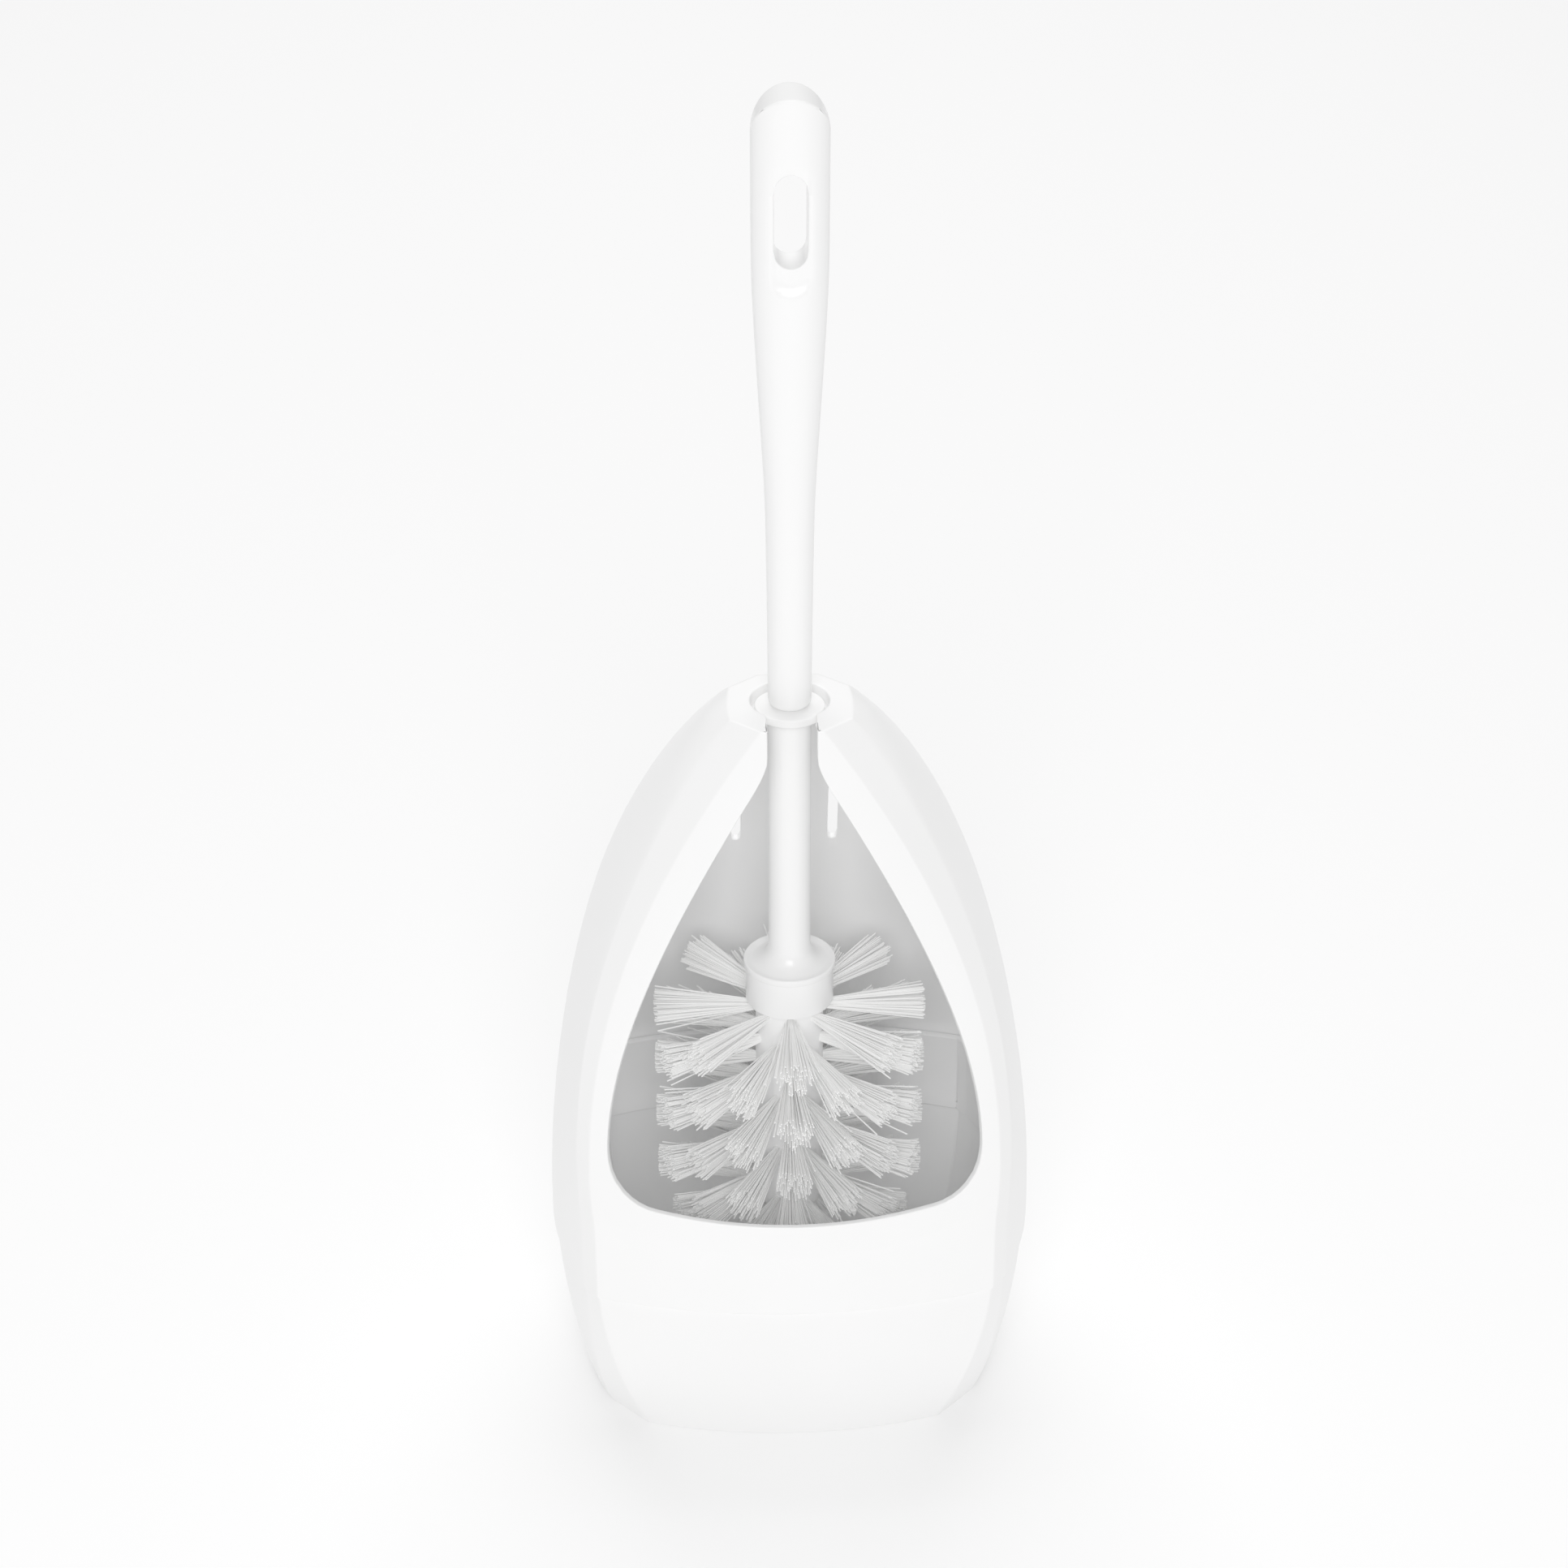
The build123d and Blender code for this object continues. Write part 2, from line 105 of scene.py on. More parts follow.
def soft_panel(name, place, aim_at, size, power):
    """A large square light at a place, turned to face a point."""
    data = bpy.data.lights.new(name, "AREA")
    data.shape, data.size, data.energy = "SQUARE", size, power
    panel = bpy.data.objects.new(name, data)
    scene.collection.objects.link(panel)
    panel.location = place
    panel.rotation_euler = (Vector(aim_at) - Vector(place)).to_track_quat("-Z", "Y").to_euler()


for panel_values in PANELS:
    soft_panel(*panel_values)
print(len(PANELS), "panels")

# %% [markdown]
# The floor is a sheet of white paper on a dimly lit table. The little light of its own keeps the
# ground white round the object without more lamps, which would wash out the object's faces.

# %% Floor
FLOOR_HALF = 3.0
FLOOR_WHITE = 0.93
FLOOR_GLOW = 0.08
floor_mesh = bpy.data.meshes.new("floor")
floor_corners = [(-FLOOR_HALF, -FLOOR_HALF, 0), (FLOOR_HALF, -FLOOR_HALF, 0),
                 (FLOOR_HALF, FLOOR_HALF, 0), (-FLOOR_HALF, FLOOR_HALF, 0)]
floor_mesh.from_pydata(floor_corners, [], [(0, 1, 2, 3)])
floor = bpy.data.objects.new("floor", floor_mesh)
scene.collection.objects.link(floor)
floor_paint = bpy.data.materials.new("floor_paper")
floor_paint.use_nodes = True
paper = floor_paint.node_tree.nodes["Principled BSDF"]
paper.inputs["Base Color"].default_value = (FLOOR_WHITE, FLOOR_WHITE, FLOOR_WHITE, 1)
paper.inputs["Roughness"].default_value = 0.9
paper.inputs["Specular IOR Level"].default_value = 0.1
paper.inputs["Emission Color"].default_value = (1, 1, 1, 1)
paper.inputs["Emission Strength"].default_value = FLOOR_GLOW
floor_mesh.materials.append(floor_paint)
print("floor is", 2 * FLOOR_HALF, "m wide")

# %% [markdown]
# ## Moulded polypropylene
#
# The plastic is white and glossy. Real mouldings are never perfectly even: the polish of the mould
# varies slowly over a face, the skin has a very fine orange peel, and handling leaves hairline
# scuffs. Noise textures at those scales can give all of it, so the first step is a few helpers that
# put a noise texture, a change of range and a bump into a material's node tree.

# %% Helpers for materials


def new_material(name):
    """A material with its node tree and its main shader."""
    material = bpy.data.materials.new(name)
    material.use_nodes = True
    tree = material.node_tree
    return material, tree, tree.nodes["Principled BSDF"]


def noise(tree, scale, detail=2.0, stretch=None):
    """A noise texture on object coordinates. Stretch pulls it out along an axis."""
    place = tree.nodes.new("ShaderNodeTexCoord")
    texture = tree.nodes.new("ShaderNodeTexNoise")
    texture.inputs["Scale"].default_value = scale
    texture.inputs["Detail"].default_value = detail
    source = place.outputs["Object"]
    if stretch:
        mapping = tree.nodes.new("ShaderNodeMapping")
        mapping.inputs["Scale"].default_value = stretch
        tree.links.new(source, mapping.inputs["Vector"])
        source = mapping.outputs["Vector"]
    tree.links.new(source, texture.inputs["Vector"])
    return texture.outputs["Fac"]


def spread(tree, value, low, high):
    """Turn a 0 to 1 value into one between low and high."""
    span = tree.nodes.new("ShaderNodeMapRange")
    span.inputs["To Min"].default_value = low
    span.inputs["To Max"].default_value = high
    tree.links.new(value, span.inputs["Value"])
    return span.outputs["Result"]


def bump(tree, height, distance, under=None):
    """Raise the surface by a 0 to 1 height times a distance, on top of another bump if given."""
    node = tree.nodes.new("ShaderNodeBump")
    node.inputs["Distance"].default_value = distance
    node.inputs["Strength"].default_value = 1.0
    tree.links.new(height, node.inputs["Height"])
    if under is not None:
        tree.links.new(under, node.inputs["Normal"])
    return node.outputs["Normal"]


# %% [markdown]
# The four plastics differ only in tone, polish and the way the polish marks flow. The slow noise
# tints the colour a little and, mixed with the scuffs, sets the roughness. The two bumps are the
# orange peel and a longer, softer wave.

# %% White plastics
POLISH_SCALE, SCUFF_SCALE, PEEL_SCALE, WAVE_SCALE = 22.0, 420.0, 1400.0, 160.0   # waves in a metre
PEEL_HEIGHT = 0.00001
SCUFF_SHARE = 0.35
PLASTIC_IOR = 1.49


def white_plastic(name, tone, roughness, flow=(1, 1, 1)):
    """White glossy polypropylene. Flow is the stretch of the slow polish marks."""
    material, tree, shader = new_material(name)
    low, high = roughness
    slow = noise(tree, POLISH_SCALE, 3.0, flow)
    scuffs = noise(tree, SCUFF_SCALE, 4.0, (1.0, 1.0, 0.5))
    mixed = tree.nodes.new("ShaderNodeMix")
    mixed.inputs["Factor"].default_value = SCUFF_SHARE
    tree.links.new(slow, mixed.inputs[2])
    tree.links.new(scuffs, mixed.inputs[3])
    tree.links.new(spread(tree, mixed.outputs[0], low, high), shader.inputs["Roughness"])
    shade = tree.nodes.new("ShaderNodeValToRGB")
    dull, bright = shade.color_ramp.elements
    dull.position, dull.color = 0.35, (tone * 0.985, tone * 0.985, tone * 0.98, 1)
    bright.position, bright.color = 0.65, (tone, tone, tone, 1)
    tree.links.new(slow, shade.inputs["Fac"])
    tree.links.new(shade.outputs["Color"], shader.inputs["Base Color"])
    peel = bump(tree, noise(tree, PEEL_SCALE), PEEL_HEIGHT)
    wave = bump(tree, noise(tree, WAVE_SCALE, 2.0, flow), PEEL_HEIGHT * 2, under=peel)
    tree.links.new(wave, shader.inputs["Normal"])
    shader.inputs["IOR"].default_value = PLASTIC_IOR
    return material


plastics = {
    "shell": white_plastic("shell_polypropylene", 0.96, (0.27, 0.33)),
    "tray": white_plastic("tray_polypropylene", 0.95, (0.28, 0.34)),
    "handle": white_plastic("handle_polypropylene", 0.94, (0.22, 0.28), flow=(1, 1, 0.3)),
    "head": white_plastic("head_polypropylene", 0.94, (0.30, 0.36)),
}
print("plastics:", sorted(plastics))

# %% [markdown]
# ## Tuft anchors
#
# A tufting machine cuts each anchor from drawn steel wire and drives it into the hole with the
# folded tuft. Only an edge shows at the tuft's root, so the working model's own plates are kept and
# given a dull drawn finish, with its grain along the wire.

# %% Tuft anchors
GRAIN_SCALE = 2500.0


def drawn_steel(name):
    """The dull grey wire that the staple plates are cut from."""
    material, tree, shader = new_material(name)
    shader.inputs["Metallic"].default_value = 1.0
    grain = noise(tree, GRAIN_SCALE, 2.0, (1.0, 1.0, 0.1))
    tree.links.new(spread(tree, grain, 0.35, 0.55), shader.inputs["Roughness"])
    shade = tree.nodes.new("ShaderNodeValToRGB")
    dark, light = shade.color_ramp.elements
    dark.color, light.color = (0.16, 0.16, 0.17, 1), (0.34, 0.34, 0.35, 1)
    tree.links.new(grain, shade.inputs["Fac"])
    tree.links.new(shade.outputs["Color"], shader.inputs["Base Color"])
    return material


def dress(node_name, material):
    """Give a piece of the working model its material."""
    mesh = nodes[node_name].data
    mesh.materials.clear()
    mesh.materials.append(material)


steel = drawn_steel("anchor_steel")
anchor_names = [name for name in nodes if name.startswith("tuft_anchors")]
for name in anchor_names:
    dress(name, steel)
print(len(anchor_names), "rows of anchors dressed")

# %% [markdown]
# ## The rule behind the holder's shape
#
# Every level of the holder is an outline of eight edges: front, back and two sides, joined by four
# flat corner facets. Their widths follow an egg curve from the plateau down to the belt. Writing
# the rule as small functions gives clean, even surfaces at any density. Sizes are in millimetres.

# %% Sizes of the holder
SEAM, BELT, CHEEK, RIDGE, RIDGE_CORNER, PLATEAU = 60.0, 66.0, 100.0, 80.5, 89.0, 232.0
SIDE_TOP, SIDE_BELT, SIDE_FLOOR = 17.6, 72.4, 62.5
OUTER_TOP, OUTER_CHEEK, OUTER_FLOOR = 17.0, 63.4, 55.7
INNER_TOP, INNER_CHEEK, INNER_FLOOR = 8.7, 59.4, 44.5
FRONT_TOP, FRONT_RIDGE, FRONT_SEAM, FRONT_FLOOR = 19.0, 58.0, 58.8, 42.5
BACK_TOP, BACK_BELT, BACK_FLOOR = 15.4, 57.5, 42.5
SLOPE_RADIUS, BAND_BOW, FLOOR_BOW = 200.0, 9.6, 6.5
SHELL_WALL, TRAY_WALL, TRAY_STEP = 2.5, 2.2, 0.9
SPIGOT_INSET, SPIGOT_DRAFT, SPIGOT_TOP = 2.9, 0.35, 85.0
print("shell stands from", SEAM, "to", PLATEAU, "mm")

# %% [markdown]
# A few plain functions blend between two values: straight, eased at both ends, or swelling fast and
# then levelling out, as the side of an egg does. All the outlines are made of them.

# %% Blending functions


def mix(a, b, t):
    """The value at fraction t of the way from a to b."""
    return a + (b - a) * t


def clamp(t):
    """Keep a fraction between 0 and 1."""
    return min(max(t, 0.0), 1.0)


def ease(t):
    """Goes from 0 to 1, level at both ends."""
    t = clamp(t)
    return t * t * (3 - 2 * t)


def swell(t, power, shape=1.0):
    """Goes from 0 to 1, fast at first and level at the end."""
    return (1 - (1 - clamp(t)) ** power) ** shape


print("half way, a swell has reached", round(swell(0.5, 2.0), 2))

# %% [markdown]
# The silhouette is widest at the belt, and the facets' edges stand furthest out a little higher, at
# the cheek. The front has an upright band below a curved ridge, and a sloping face above it that
# is part of a large leaning cylinder.

# %% Outline functions
EGG_POWER, EDGE_POWER = 1.85, 2.0
SIDE_SHAPE, BACK_SHAPE, OUTER_SHAPE = 0.705, 0.78, 0.94
INNER_DRAW_IN, OUTER_DRAW_IN = 1.2, 0.8
BACK_BOW_TOP = 0.6
FACET_SLOPE_SEAM, FACET_SLOPE_TOP = 1.45, 0.85   # how far a facet runs back for each mm across


def egg(level, at_top, at_belt, shape):
    """A distance that follows the egg curve from the plateau down to the belt."""
    return mix(at_top, at_belt, swell((PLATEAU - level) / (PLATEAU - BELT), EGG_POWER, shape))


def edge_half_width(level, at_top, at_cheek, shape, draw_in):
    """Half width of a facet's edge. It draws in a little again below the cheek."""
    down = (PLATEAU - level) / (PLATEAU - CHEEK)
    drawn_in = draw_in * ease((CHEEK - level) / (CHEEK - RIDGE))
    return mix(at_top, at_cheek, swell(down, EDGE_POWER, shape)) - drawn_in


def inner_edge(level):
    """Half width of the front face, where the facet starts."""
    return edge_half_width(level, INNER_TOP, INNER_CHEEK, 1.0, INNER_DRAW_IN)


def outer_edge(level):
    """Half width at the facet's outer edge, where the side starts."""
    return edge_half_width(level, OUTER_TOP, OUTER_CHEEK, OUTER_SHAPE, OUTER_DRAW_IN)


def bow_over(half_width, radius):
    """How far an arc of a radius falls back over a half width."""
    return radius - sqrt(radius ** 2 - half_width ** 2)


def slope_y(x, z):
    """The sloping front face, which is part of a leaning cylinder."""
    ahead = mix(FRONT_TOP, FRONT_RIDGE, (PLATEAU - z) / (PLATEAU - RIDGE))
    return bow_over(abs(x), SLOPE_RADIUS) - ahead


def ridge_z(x):
    """Height of the crease between the upright band and the sloping face."""
    return RIDGE + (RIDGE_CORNER - RIDGE) * (abs(x) / inner_edge(RIDGE_CORNER)) ** 2


def band_y(x, z):
    """The upright band below the ridge."""
    seam_corner = inner_edge(SEAM)
    at_seam = FRONT_SEAM - BAND_BOW * min(1.0, abs(x) / seam_corner) ** 2
    return -mix(at_seam, -slope_y(x, ridge_z(x)), (z - SEAM) / (ridge_z(x) - SEAM))


def front_y(x, z):
    """The front face, which is the band below the ridge and the slope above it."""
    return slope_y(x, z) if z >= ridge_z(x) else band_y(x, z)


def on_arc(start, end, bow, t):
    """Point at fraction t of the way along an arc that bows out to the right of its chord."""
    chord = Vector(end) - Vector(start)
    half = chord.length / 2
    point = Vector(start) + chord * t
    if abs(bow) > 1e-6:
        radius = (half ** 2 + bow ** 2) / (2 * bow)
        off = sqrt(radius ** 2 - (half * (2 * t - 1)) ** 2) - (radius - bow)
        along = chord.normalized()
        point += Vector((along.y, -along.x)) * off
    return point


def facet_slope(level):
    """How steeply the facets run back at a level."""
    return mix(FACET_SLOPE_SEAM, FACET_SLOPE_TOP, (level - SEAM) / (PLATEAU - SEAM))


def shell_corners(level):
    """The right half's corners from front to back, with the bows of the side and of the back."""
    inner, outer, slope = inner_edge(level), outer_edge(level), facet_slope(level)
    crease = -front_y(inner, level)
    back_bow = mix(BAND_BOW, BACK_BOW_TOP, clamp((level - SEAM) / (PLATEAU - SEAM)))
    back = egg(level, BACK_TOP, BACK_BELT, BACK_SHAPE) - back_bow
    side_bow = egg(level, SIDE_TOP, SIDE_BELT, SIDE_SHAPE) - outer
    corners = [(inner, -crease), (outer, -(crease - slope * (outer - inner))),
               (outer, back - slope * (outer - inner)), (inner, back)]
    return corners, side_bow, back_bow


print("belt half width", round(egg(BELT, SIDE_TOP, SIDE_BELT, SIDE_SHAPE), 1), "mm")

# %% [markdown]
# ## The window's outline
#
# The window is an arch that runs up into the slot for the stem. Its lower corners are rounded
# enough for a cloth to wipe them out. The half outline goes from the slot's top down to the middle
# of the sill.

# %% Window outline
SLOT_HALF, SLOT_FOOT, SILL = 6.9, 221.0, 89.5
WINDOW_HALF, WINDOW_CHEEK = 54.0, 108.0
CORNER_X, CORNER_Z, CORNER_RADIUS = 52.5, 94.5, 15.0
FLANK_DROP = 1.55                  # how steeply the window's flank leaves the slot
FLARE_RISE = 3.2                   # where the slot's side starts to flare out, above its foot
FLANK_STEPS, FLARE_STEPS, CORNER_STEPS, SILL_STEPS = 60, 3, 16, 5
SILL_STEP = 8.0


def rounded_corner(before, corner, after, radius, count):
    """Points of an arc that rounds off the corner between two straight runs."""
    corner = Vector(corner)
    d1, d2 = (Vector(before) - corner).normalized(), (Vector(after) - corner).normalized()
    half_angle = d1.angle(d2) / 2
    centre = corner + (d1 + d2).normalized() * (radius / sin(half_angle))
    reach = radius / math.tan(half_angle)
    first, last = corner + d1 * reach - centre, corner + d2 * reach - centre
    turn = first.angle(last)
    return [centre + (first * sin(turn * (1 - k / count)) + last * sin(turn * k / count)) / sin(turn)
            for k in range(count + 1)]


def curve_point(start, control, end, t):
    """Point of a curve that leaves its start towards a control point and arrives from it."""
    return start * (1 - t) ** 2 + control * 2 * t * (1 - t) + end * t ** 2


def window_half_outline():
    """The half outline above the middle of the rounded corner, that middle, and the part below."""
    start, end = Vector((SLOT_HALF, SLOT_FOOT)), Vector((WINDOW_HALF, WINDOW_CHEEK))
    control = Vector((WINDOW_HALF, SLOT_FOOT - FLANK_DROP * (WINDOW_HALF - SLOT_HALF)))
    flank = [curve_point(start, control, end, k / FLANK_STEPS)
             for k in range(FLARE_STEPS, FLANK_STEPS + 1)]
    flare_top = Vector((SLOT_HALF, SLOT_FOOT + FLARE_RISE))
    flare = [curve_point(flare_top, start, flank[0], t) for t in (0, 0.2, 0.4, 0.6, 0.8)]
    arc_radius = (CORNER_X ** 2 + (CORNER_Z - SILL) ** 2) / (2 * (CORNER_Z - SILL))
    sill = [Vector((x, SILL + bow_over(x, arc_radius)))
            for x in (SILL_STEP * k for k in range(SILL_STEPS, -1, -1))]
    sill_end = SILL_STEP * SILL_STEPS + 1.0
    corner = rounded_corner(flank[-1], (CORNER_X, CORNER_Z),
                            (sill_end, SILL + bow_over(sill_end, arc_radius)),
                            CORNER_RADIUS, CORNER_STEPS)
    middle = CORNER_STEPS // 2
    above = [Vector((SLOT_HALF, PLATEAU))] + flare + flank + corner
    above = [p for p in above if p.y >= corner[middle].y - 1e-9]
    return above, corner[middle], corner[middle:] + sill


upper_half, corner_middle, lower_half = window_half_outline()


def read_off(points, value, axis):
    """The other coordinate where a run of points passes a value along one axis."""
    other = 1 - axis
    for p, q in zip(points, points[1:]):
        low, high = sorted((p[axis], q[axis]))
        if low - 1e-9 <= value <= high + 1e-9 and high - low > 1e-9:
            return mix(p[other], q[other], (value - p[axis]) / (q[axis] - p[axis]))
    ends = (points[0], points[-1])
    return min(ends, key=lambda p: abs(p[axis] - value))[other]


print("window corner's middle at", [round(c, 1) for c in corner_middle])

# %% [markdown]
# ## The shell's skin as one grid
#
# Rows run up the shell and columns run round it. The window is a block of the grid that is left
# out, and the rows and columns next to it bend to follow its edge. The two hanging slots in the
# back are left out in the same way. Above the top row the grid turns in over the plateau, then down
# into the recess for the collar.

# %% Rows and columns
HANGER_X, HANGER_HALF, HANGER_LOW, HANGER_HIGH = 14.7, 1.5, 161.4, 195.0
EDGE_ROW = 97.0                    # level on the facet's edge of the row that meets the sill
RECESS_RADIUS, RECESS_FLOOR = 11.25, 228.0


def steps(low, high, count):
    """Even steps from low to high, without low itself."""
    return [mix(low, high, k / count) for k in range(1, count + 1)]


band_rows = [0.0, 0.03, 0.3, 0.6, 0.85, 0.96, 1.0]
sill_rows = [0.12, 0.5, 1.0]
ROWS_TO_HANGERS, ROWS_OF_HANGERS, ROWS_OVER_HANGERS = 22, 12, 16
upper_levels = (steps(EDGE_ROW, HANGER_LOW, ROWS_TO_HANGERS)
                + steps(HANGER_LOW, HANGER_HIGH, ROWS_OF_HANGERS)
                + steps(HANGER_HIGH, PLATEAU, ROWS_OVER_HANGERS))
row_sill = len(band_rows) + len(sill_rows) - 1
row_low = row_sill + ROWS_TO_HANGERS
row_high = row_low + ROWS_OF_HANGERS
row_top = row_sill + len(upper_levels)

flank_places = [0.0, 0.25, 0.5, 0.75, 1.0]
facet_places = [0.12, 0.5, 0.88, 1.0]
side_places = [0.04] + steps(0.04, 0.96, 18) + [1.0]
# Back columns, as fractions: 1 at the facet's edge, and two groups that line up with the slots.
back_outer = [0.85, 0.65, 0.45, 0.22, 0.0]
hanger_places = [1.0, 0.6, 0.2, -0.2, -0.6, -1.0]
sill_columns = 28
FULL_SPREAD = 30.0                 # the back's columns close up where its half width is less


def back_x(kind, place, level):
    """Distance of a back column from the middle. Its columns close up where the back is narrow."""
    inner = inner_edge(level)
    squeeze = min(1.0, inner / FULL_SPREAD)
    if kind == "outer":
        return mix((HANGER_X + HANGER_HALF) * squeeze, inner, place)
    if kind == "hanger":
        return (HANGER_X + HANGER_HALF * place) * squeeze
    return (HANGER_X - HANGER_HALF) * squeeze * place


right_columns = ([("flank", p) for p in flank_places] + [("facet_front", p) for p in facet_places]
                 + [("side", p) for p in side_places] + [("facet_back", p) for p in facet_places]
                 + [("outer", p) for p in back_outer] + [("hanger", p) for p in hanger_places[1:]]
                 + [("middle", p) for p in (0.66, 0.33)])
columns = [(1, kind, place) for kind, place in right_columns] + [(1, "middle", 0.0)]
columns += [(-1, kind, place) for kind, place in reversed(right_columns)]
columns += [(0, "sill", mix(-1, 1, k / sill_columns)) for k in range(1, sill_columns)]
print(len(columns), "columns and", row_top, "rows")

# %% [markdown]
# Each grid point is worked out from its row and its column. A column belongs to one of the faces:
# the flank beside the window, a facet, the side, or the back. Only the columns under the sill stop
# at the window.

# %% Points of the skin


def row_level(row):
    """Level of a row on the facets, the sides and the back."""
    if row < len(band_rows):
        return mix(SEAM, RIDGE_CORNER, band_rows[row])
    if row <= row_sill:
        return mix(RIDGE_CORNER, EDGE_ROW, sill_rows[row - len(band_rows)])
    return upper_levels[row - row_sill - 1]


def front_column_point(row, x_ridge, at_sill, x_foot):
    """Point of a front column in the rows below the sill."""
    if row < len(band_rows):
        x = mix(x_foot, x_ridge, band_rows[row])
        z = mix(SEAM, ridge_z(x), band_rows[row])
        return Vector((x, band_y(x, z) if row < len(band_rows) - 1 else slope_y(x, z), z))
    t = sill_rows[row - len(band_rows)]
    x, z = mix(x_ridge, at_sill[0], t), mix(ridge_z(x_ridge), at_sill[1], t)
    return Vector((x, slope_y(x, z), z))


def skin_point(row, column):
    """The place of one grid point on the shell's skin."""
    side, kind, place = column
    level = row_level(row)
    middle_x, middle_z = corner_middle
    if kind == "sill":
        x = middle_x * (0.5 * sin(place * math.pi / 2) + 0.5 * place)
        return front_column_point(row, x, (x, read_off(lower_half, abs(x), 0)), x)
    if kind == "flank":
        edge = Vector((inner_edge(level), level))
        if row > row_sill:
            z = mix(middle_z, PLATEAU, (level - EDGE_ROW) / (PLATEAU - EDGE_ROW))
            point = Vector((read_off(upper_half, z, 1), z)).lerp(edge, place)
            point = Vector((point.x, slope_y(point.x, point.y), point.y))
        else:
            at_sill = corner_middle.lerp(Vector((inner_edge(EDGE_ROW), EDGE_ROW)), place)
            point = front_column_point(row, mix(middle_x, inner_edge(RIDGE_CORNER), place), at_sill,
                                       mix(middle_x, inner_edge(SEAM), place))
            if place == 1.0:
                point = Vector((edge.x, front_y(edge.x, level), level))
        return Vector((side * point.x, point.y, point.z))
    return side_or_back_point(row, column)


def side_or_back_point(row, column):
    """The same for the facets, the sides and the back."""
    side, kind, place = column
    level = row_level(row)
    corners, side_bow, back_bow = shell_corners(level)
    if kind == "facet_front":
        x, y = Vector(corners[0]).lerp(Vector(corners[1]), place)
    elif kind == "side":
        x, y = on_arc(corners[1], corners[2], side_bow, place)
    elif kind == "facet_back":
        x, y = Vector(corners[2]).lerp(Vector(corners[3]), place)
    else:
        x = back_x(kind, place, level)
        half = corners[3][0]
        y = on_arc(corners[3], (-half, corners[3][1]), back_bow, (half - x) / (2 * half)).y
        if kind == "hanger" or (kind == "outer" and place == 0.0):
            across = 1.0 if kind == "outer" else place
            rise = HANGER_HALF * (1 - sqrt(1 - across ** 2))
            level += rise if row == row_low else -rise if row == row_high else 0.0
    return Vector((side * x, y, level))


def plateau_path(column, top):
    """Where a column meets the recess or the slot, and whether it is on the recess."""
    side, kind, place = column
    slot_end = -sqrt(RECESS_RADIUS ** 2 - SLOT_HALF ** 2)
    if kind == "flank" or (kind == "facet_front" and place < 0.5):
        along = 0.5 * place if kind == "flank" else 0.5 + place
        return Vector((side * SLOT_HALF, mix(top_front_y, slot_end, along))), False
    start = math.atan2(slot_end, SLOT_HALF)
    share = (math.atan2(top.y, abs(top.x)) - facet_turn) / (radians(90) - facet_turn)
    turn = mix(start, radians(90), share)
    sign = 1 if side == 1 else -1
    return Vector((sign * cos(turn), sin(turn))) * RECESS_RADIUS, True


facet_middle = skin_point(row_top, (1, "facet_front", 0.5))
facet_turn = math.atan2(facet_middle.y, facet_middle.x)
top_front_y = skin_point(row_top, (1, "flank", 0.0)).y
print("plateau's front edge is", round(-top_front_y, 1), "mm before the axis")

# %% [markdown]
# ## From grid to moulding
#
# The skin is only a surface. A Solidify modifier gives it the wall thickness on the inside, which
# is how a moulded wall works, and a Bevel modifier rounds the edges that a mould would round.

# %% Helpers for pieces


def add_object(name, mesh, material, smooth=True):
    """A visible piece from a mesh, with its material."""
    piece = bpy.data.objects.new(name, mesh)
    scene.collection.objects.link(piece)
    mesh.materials.clear()
    mesh.materials.append(material)
    if smooth:
        mesh.shade_smooth()
    return piece


def mesh_from(name, points, faces, merge=0.002):
    """A mesh from points in millimetres, with doubles merged and its faces turned outwards."""
    mesh = bpy.data.meshes.new(name)
    mesh.from_pydata([Vector(p) * MM for p in points], [], faces)
    shape = bmesh.new()
    shape.from_mesh(mesh)
    bmesh.ops.remove_doubles(shape, verts=shape.verts, dist=merge * MM)
    bmesh.ops.dissolve_degenerate(shape, edges=shape.edges, dist=merge * MM)
    bmesh.ops.recalc_face_normals(shape, faces=shape.faces)
    shape.to_mesh(mesh)
    shape.free()
    mesh.update()
    return mesh


def flip_if(mesh, test):
    """Turn a whole sheet over when the test on its polygons says that it faces inwards."""
    if test(mesh):
        mesh.flip_normals()


def finish_wall(piece, thickness, radius, sharp=28.0, segments=2):
    """Give a sheet its wall on the inside, and round every edge that turns more than sharp degrees."""
    if thickness:
        wall = piece.modifiers.new("wall", "SOLIDIFY")
        wall.thickness, wall.offset = thickness * MM, -1.0
        wall.use_even_offset, wall.use_rim = True, True
        wall.thickness_clamp = 0.0
    bevel = piece.modifiers.new("edge_radius", "BEVEL")
    bevel.width, bevel.segments = radius * MM, segments
    bevel.limit_method, bevel.angle_limit = "ANGLE", radians(sharp)
    bevel.use_clamp_overlap = False
    normals = piece.modifiers.new("normals", "WEIGHTED_NORMAL")
    normals.keep_sharp = True


def settle(piece, body, slot, *replaced):
    """Hang a finished piece on its body, in the place of the working model's own pieces."""
    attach(piece, body)
    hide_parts(*replaced)
    print(f"{piece.name}: {len(piece.data.polygons)} faces before its modifiers")


# %% [markdown]
# ## The shell
#
# First the grid's points and faces are laid down row by row. A cell is left out where the window or
# a hanging slot is, so no cut is needed, and the edges of the openings are clean lines of the grid.

# %% Faces of the skin
shell_points, shell_faces = [], []
point_at = {}
for row in range(row_top + 1):
    for c, column in enumerate(columns):
        if column[1] == "sill" and row > row_sill:
            continue
        point_at[row, c] = len(shell_points)
        shell_points.append(skin_point(row, column))

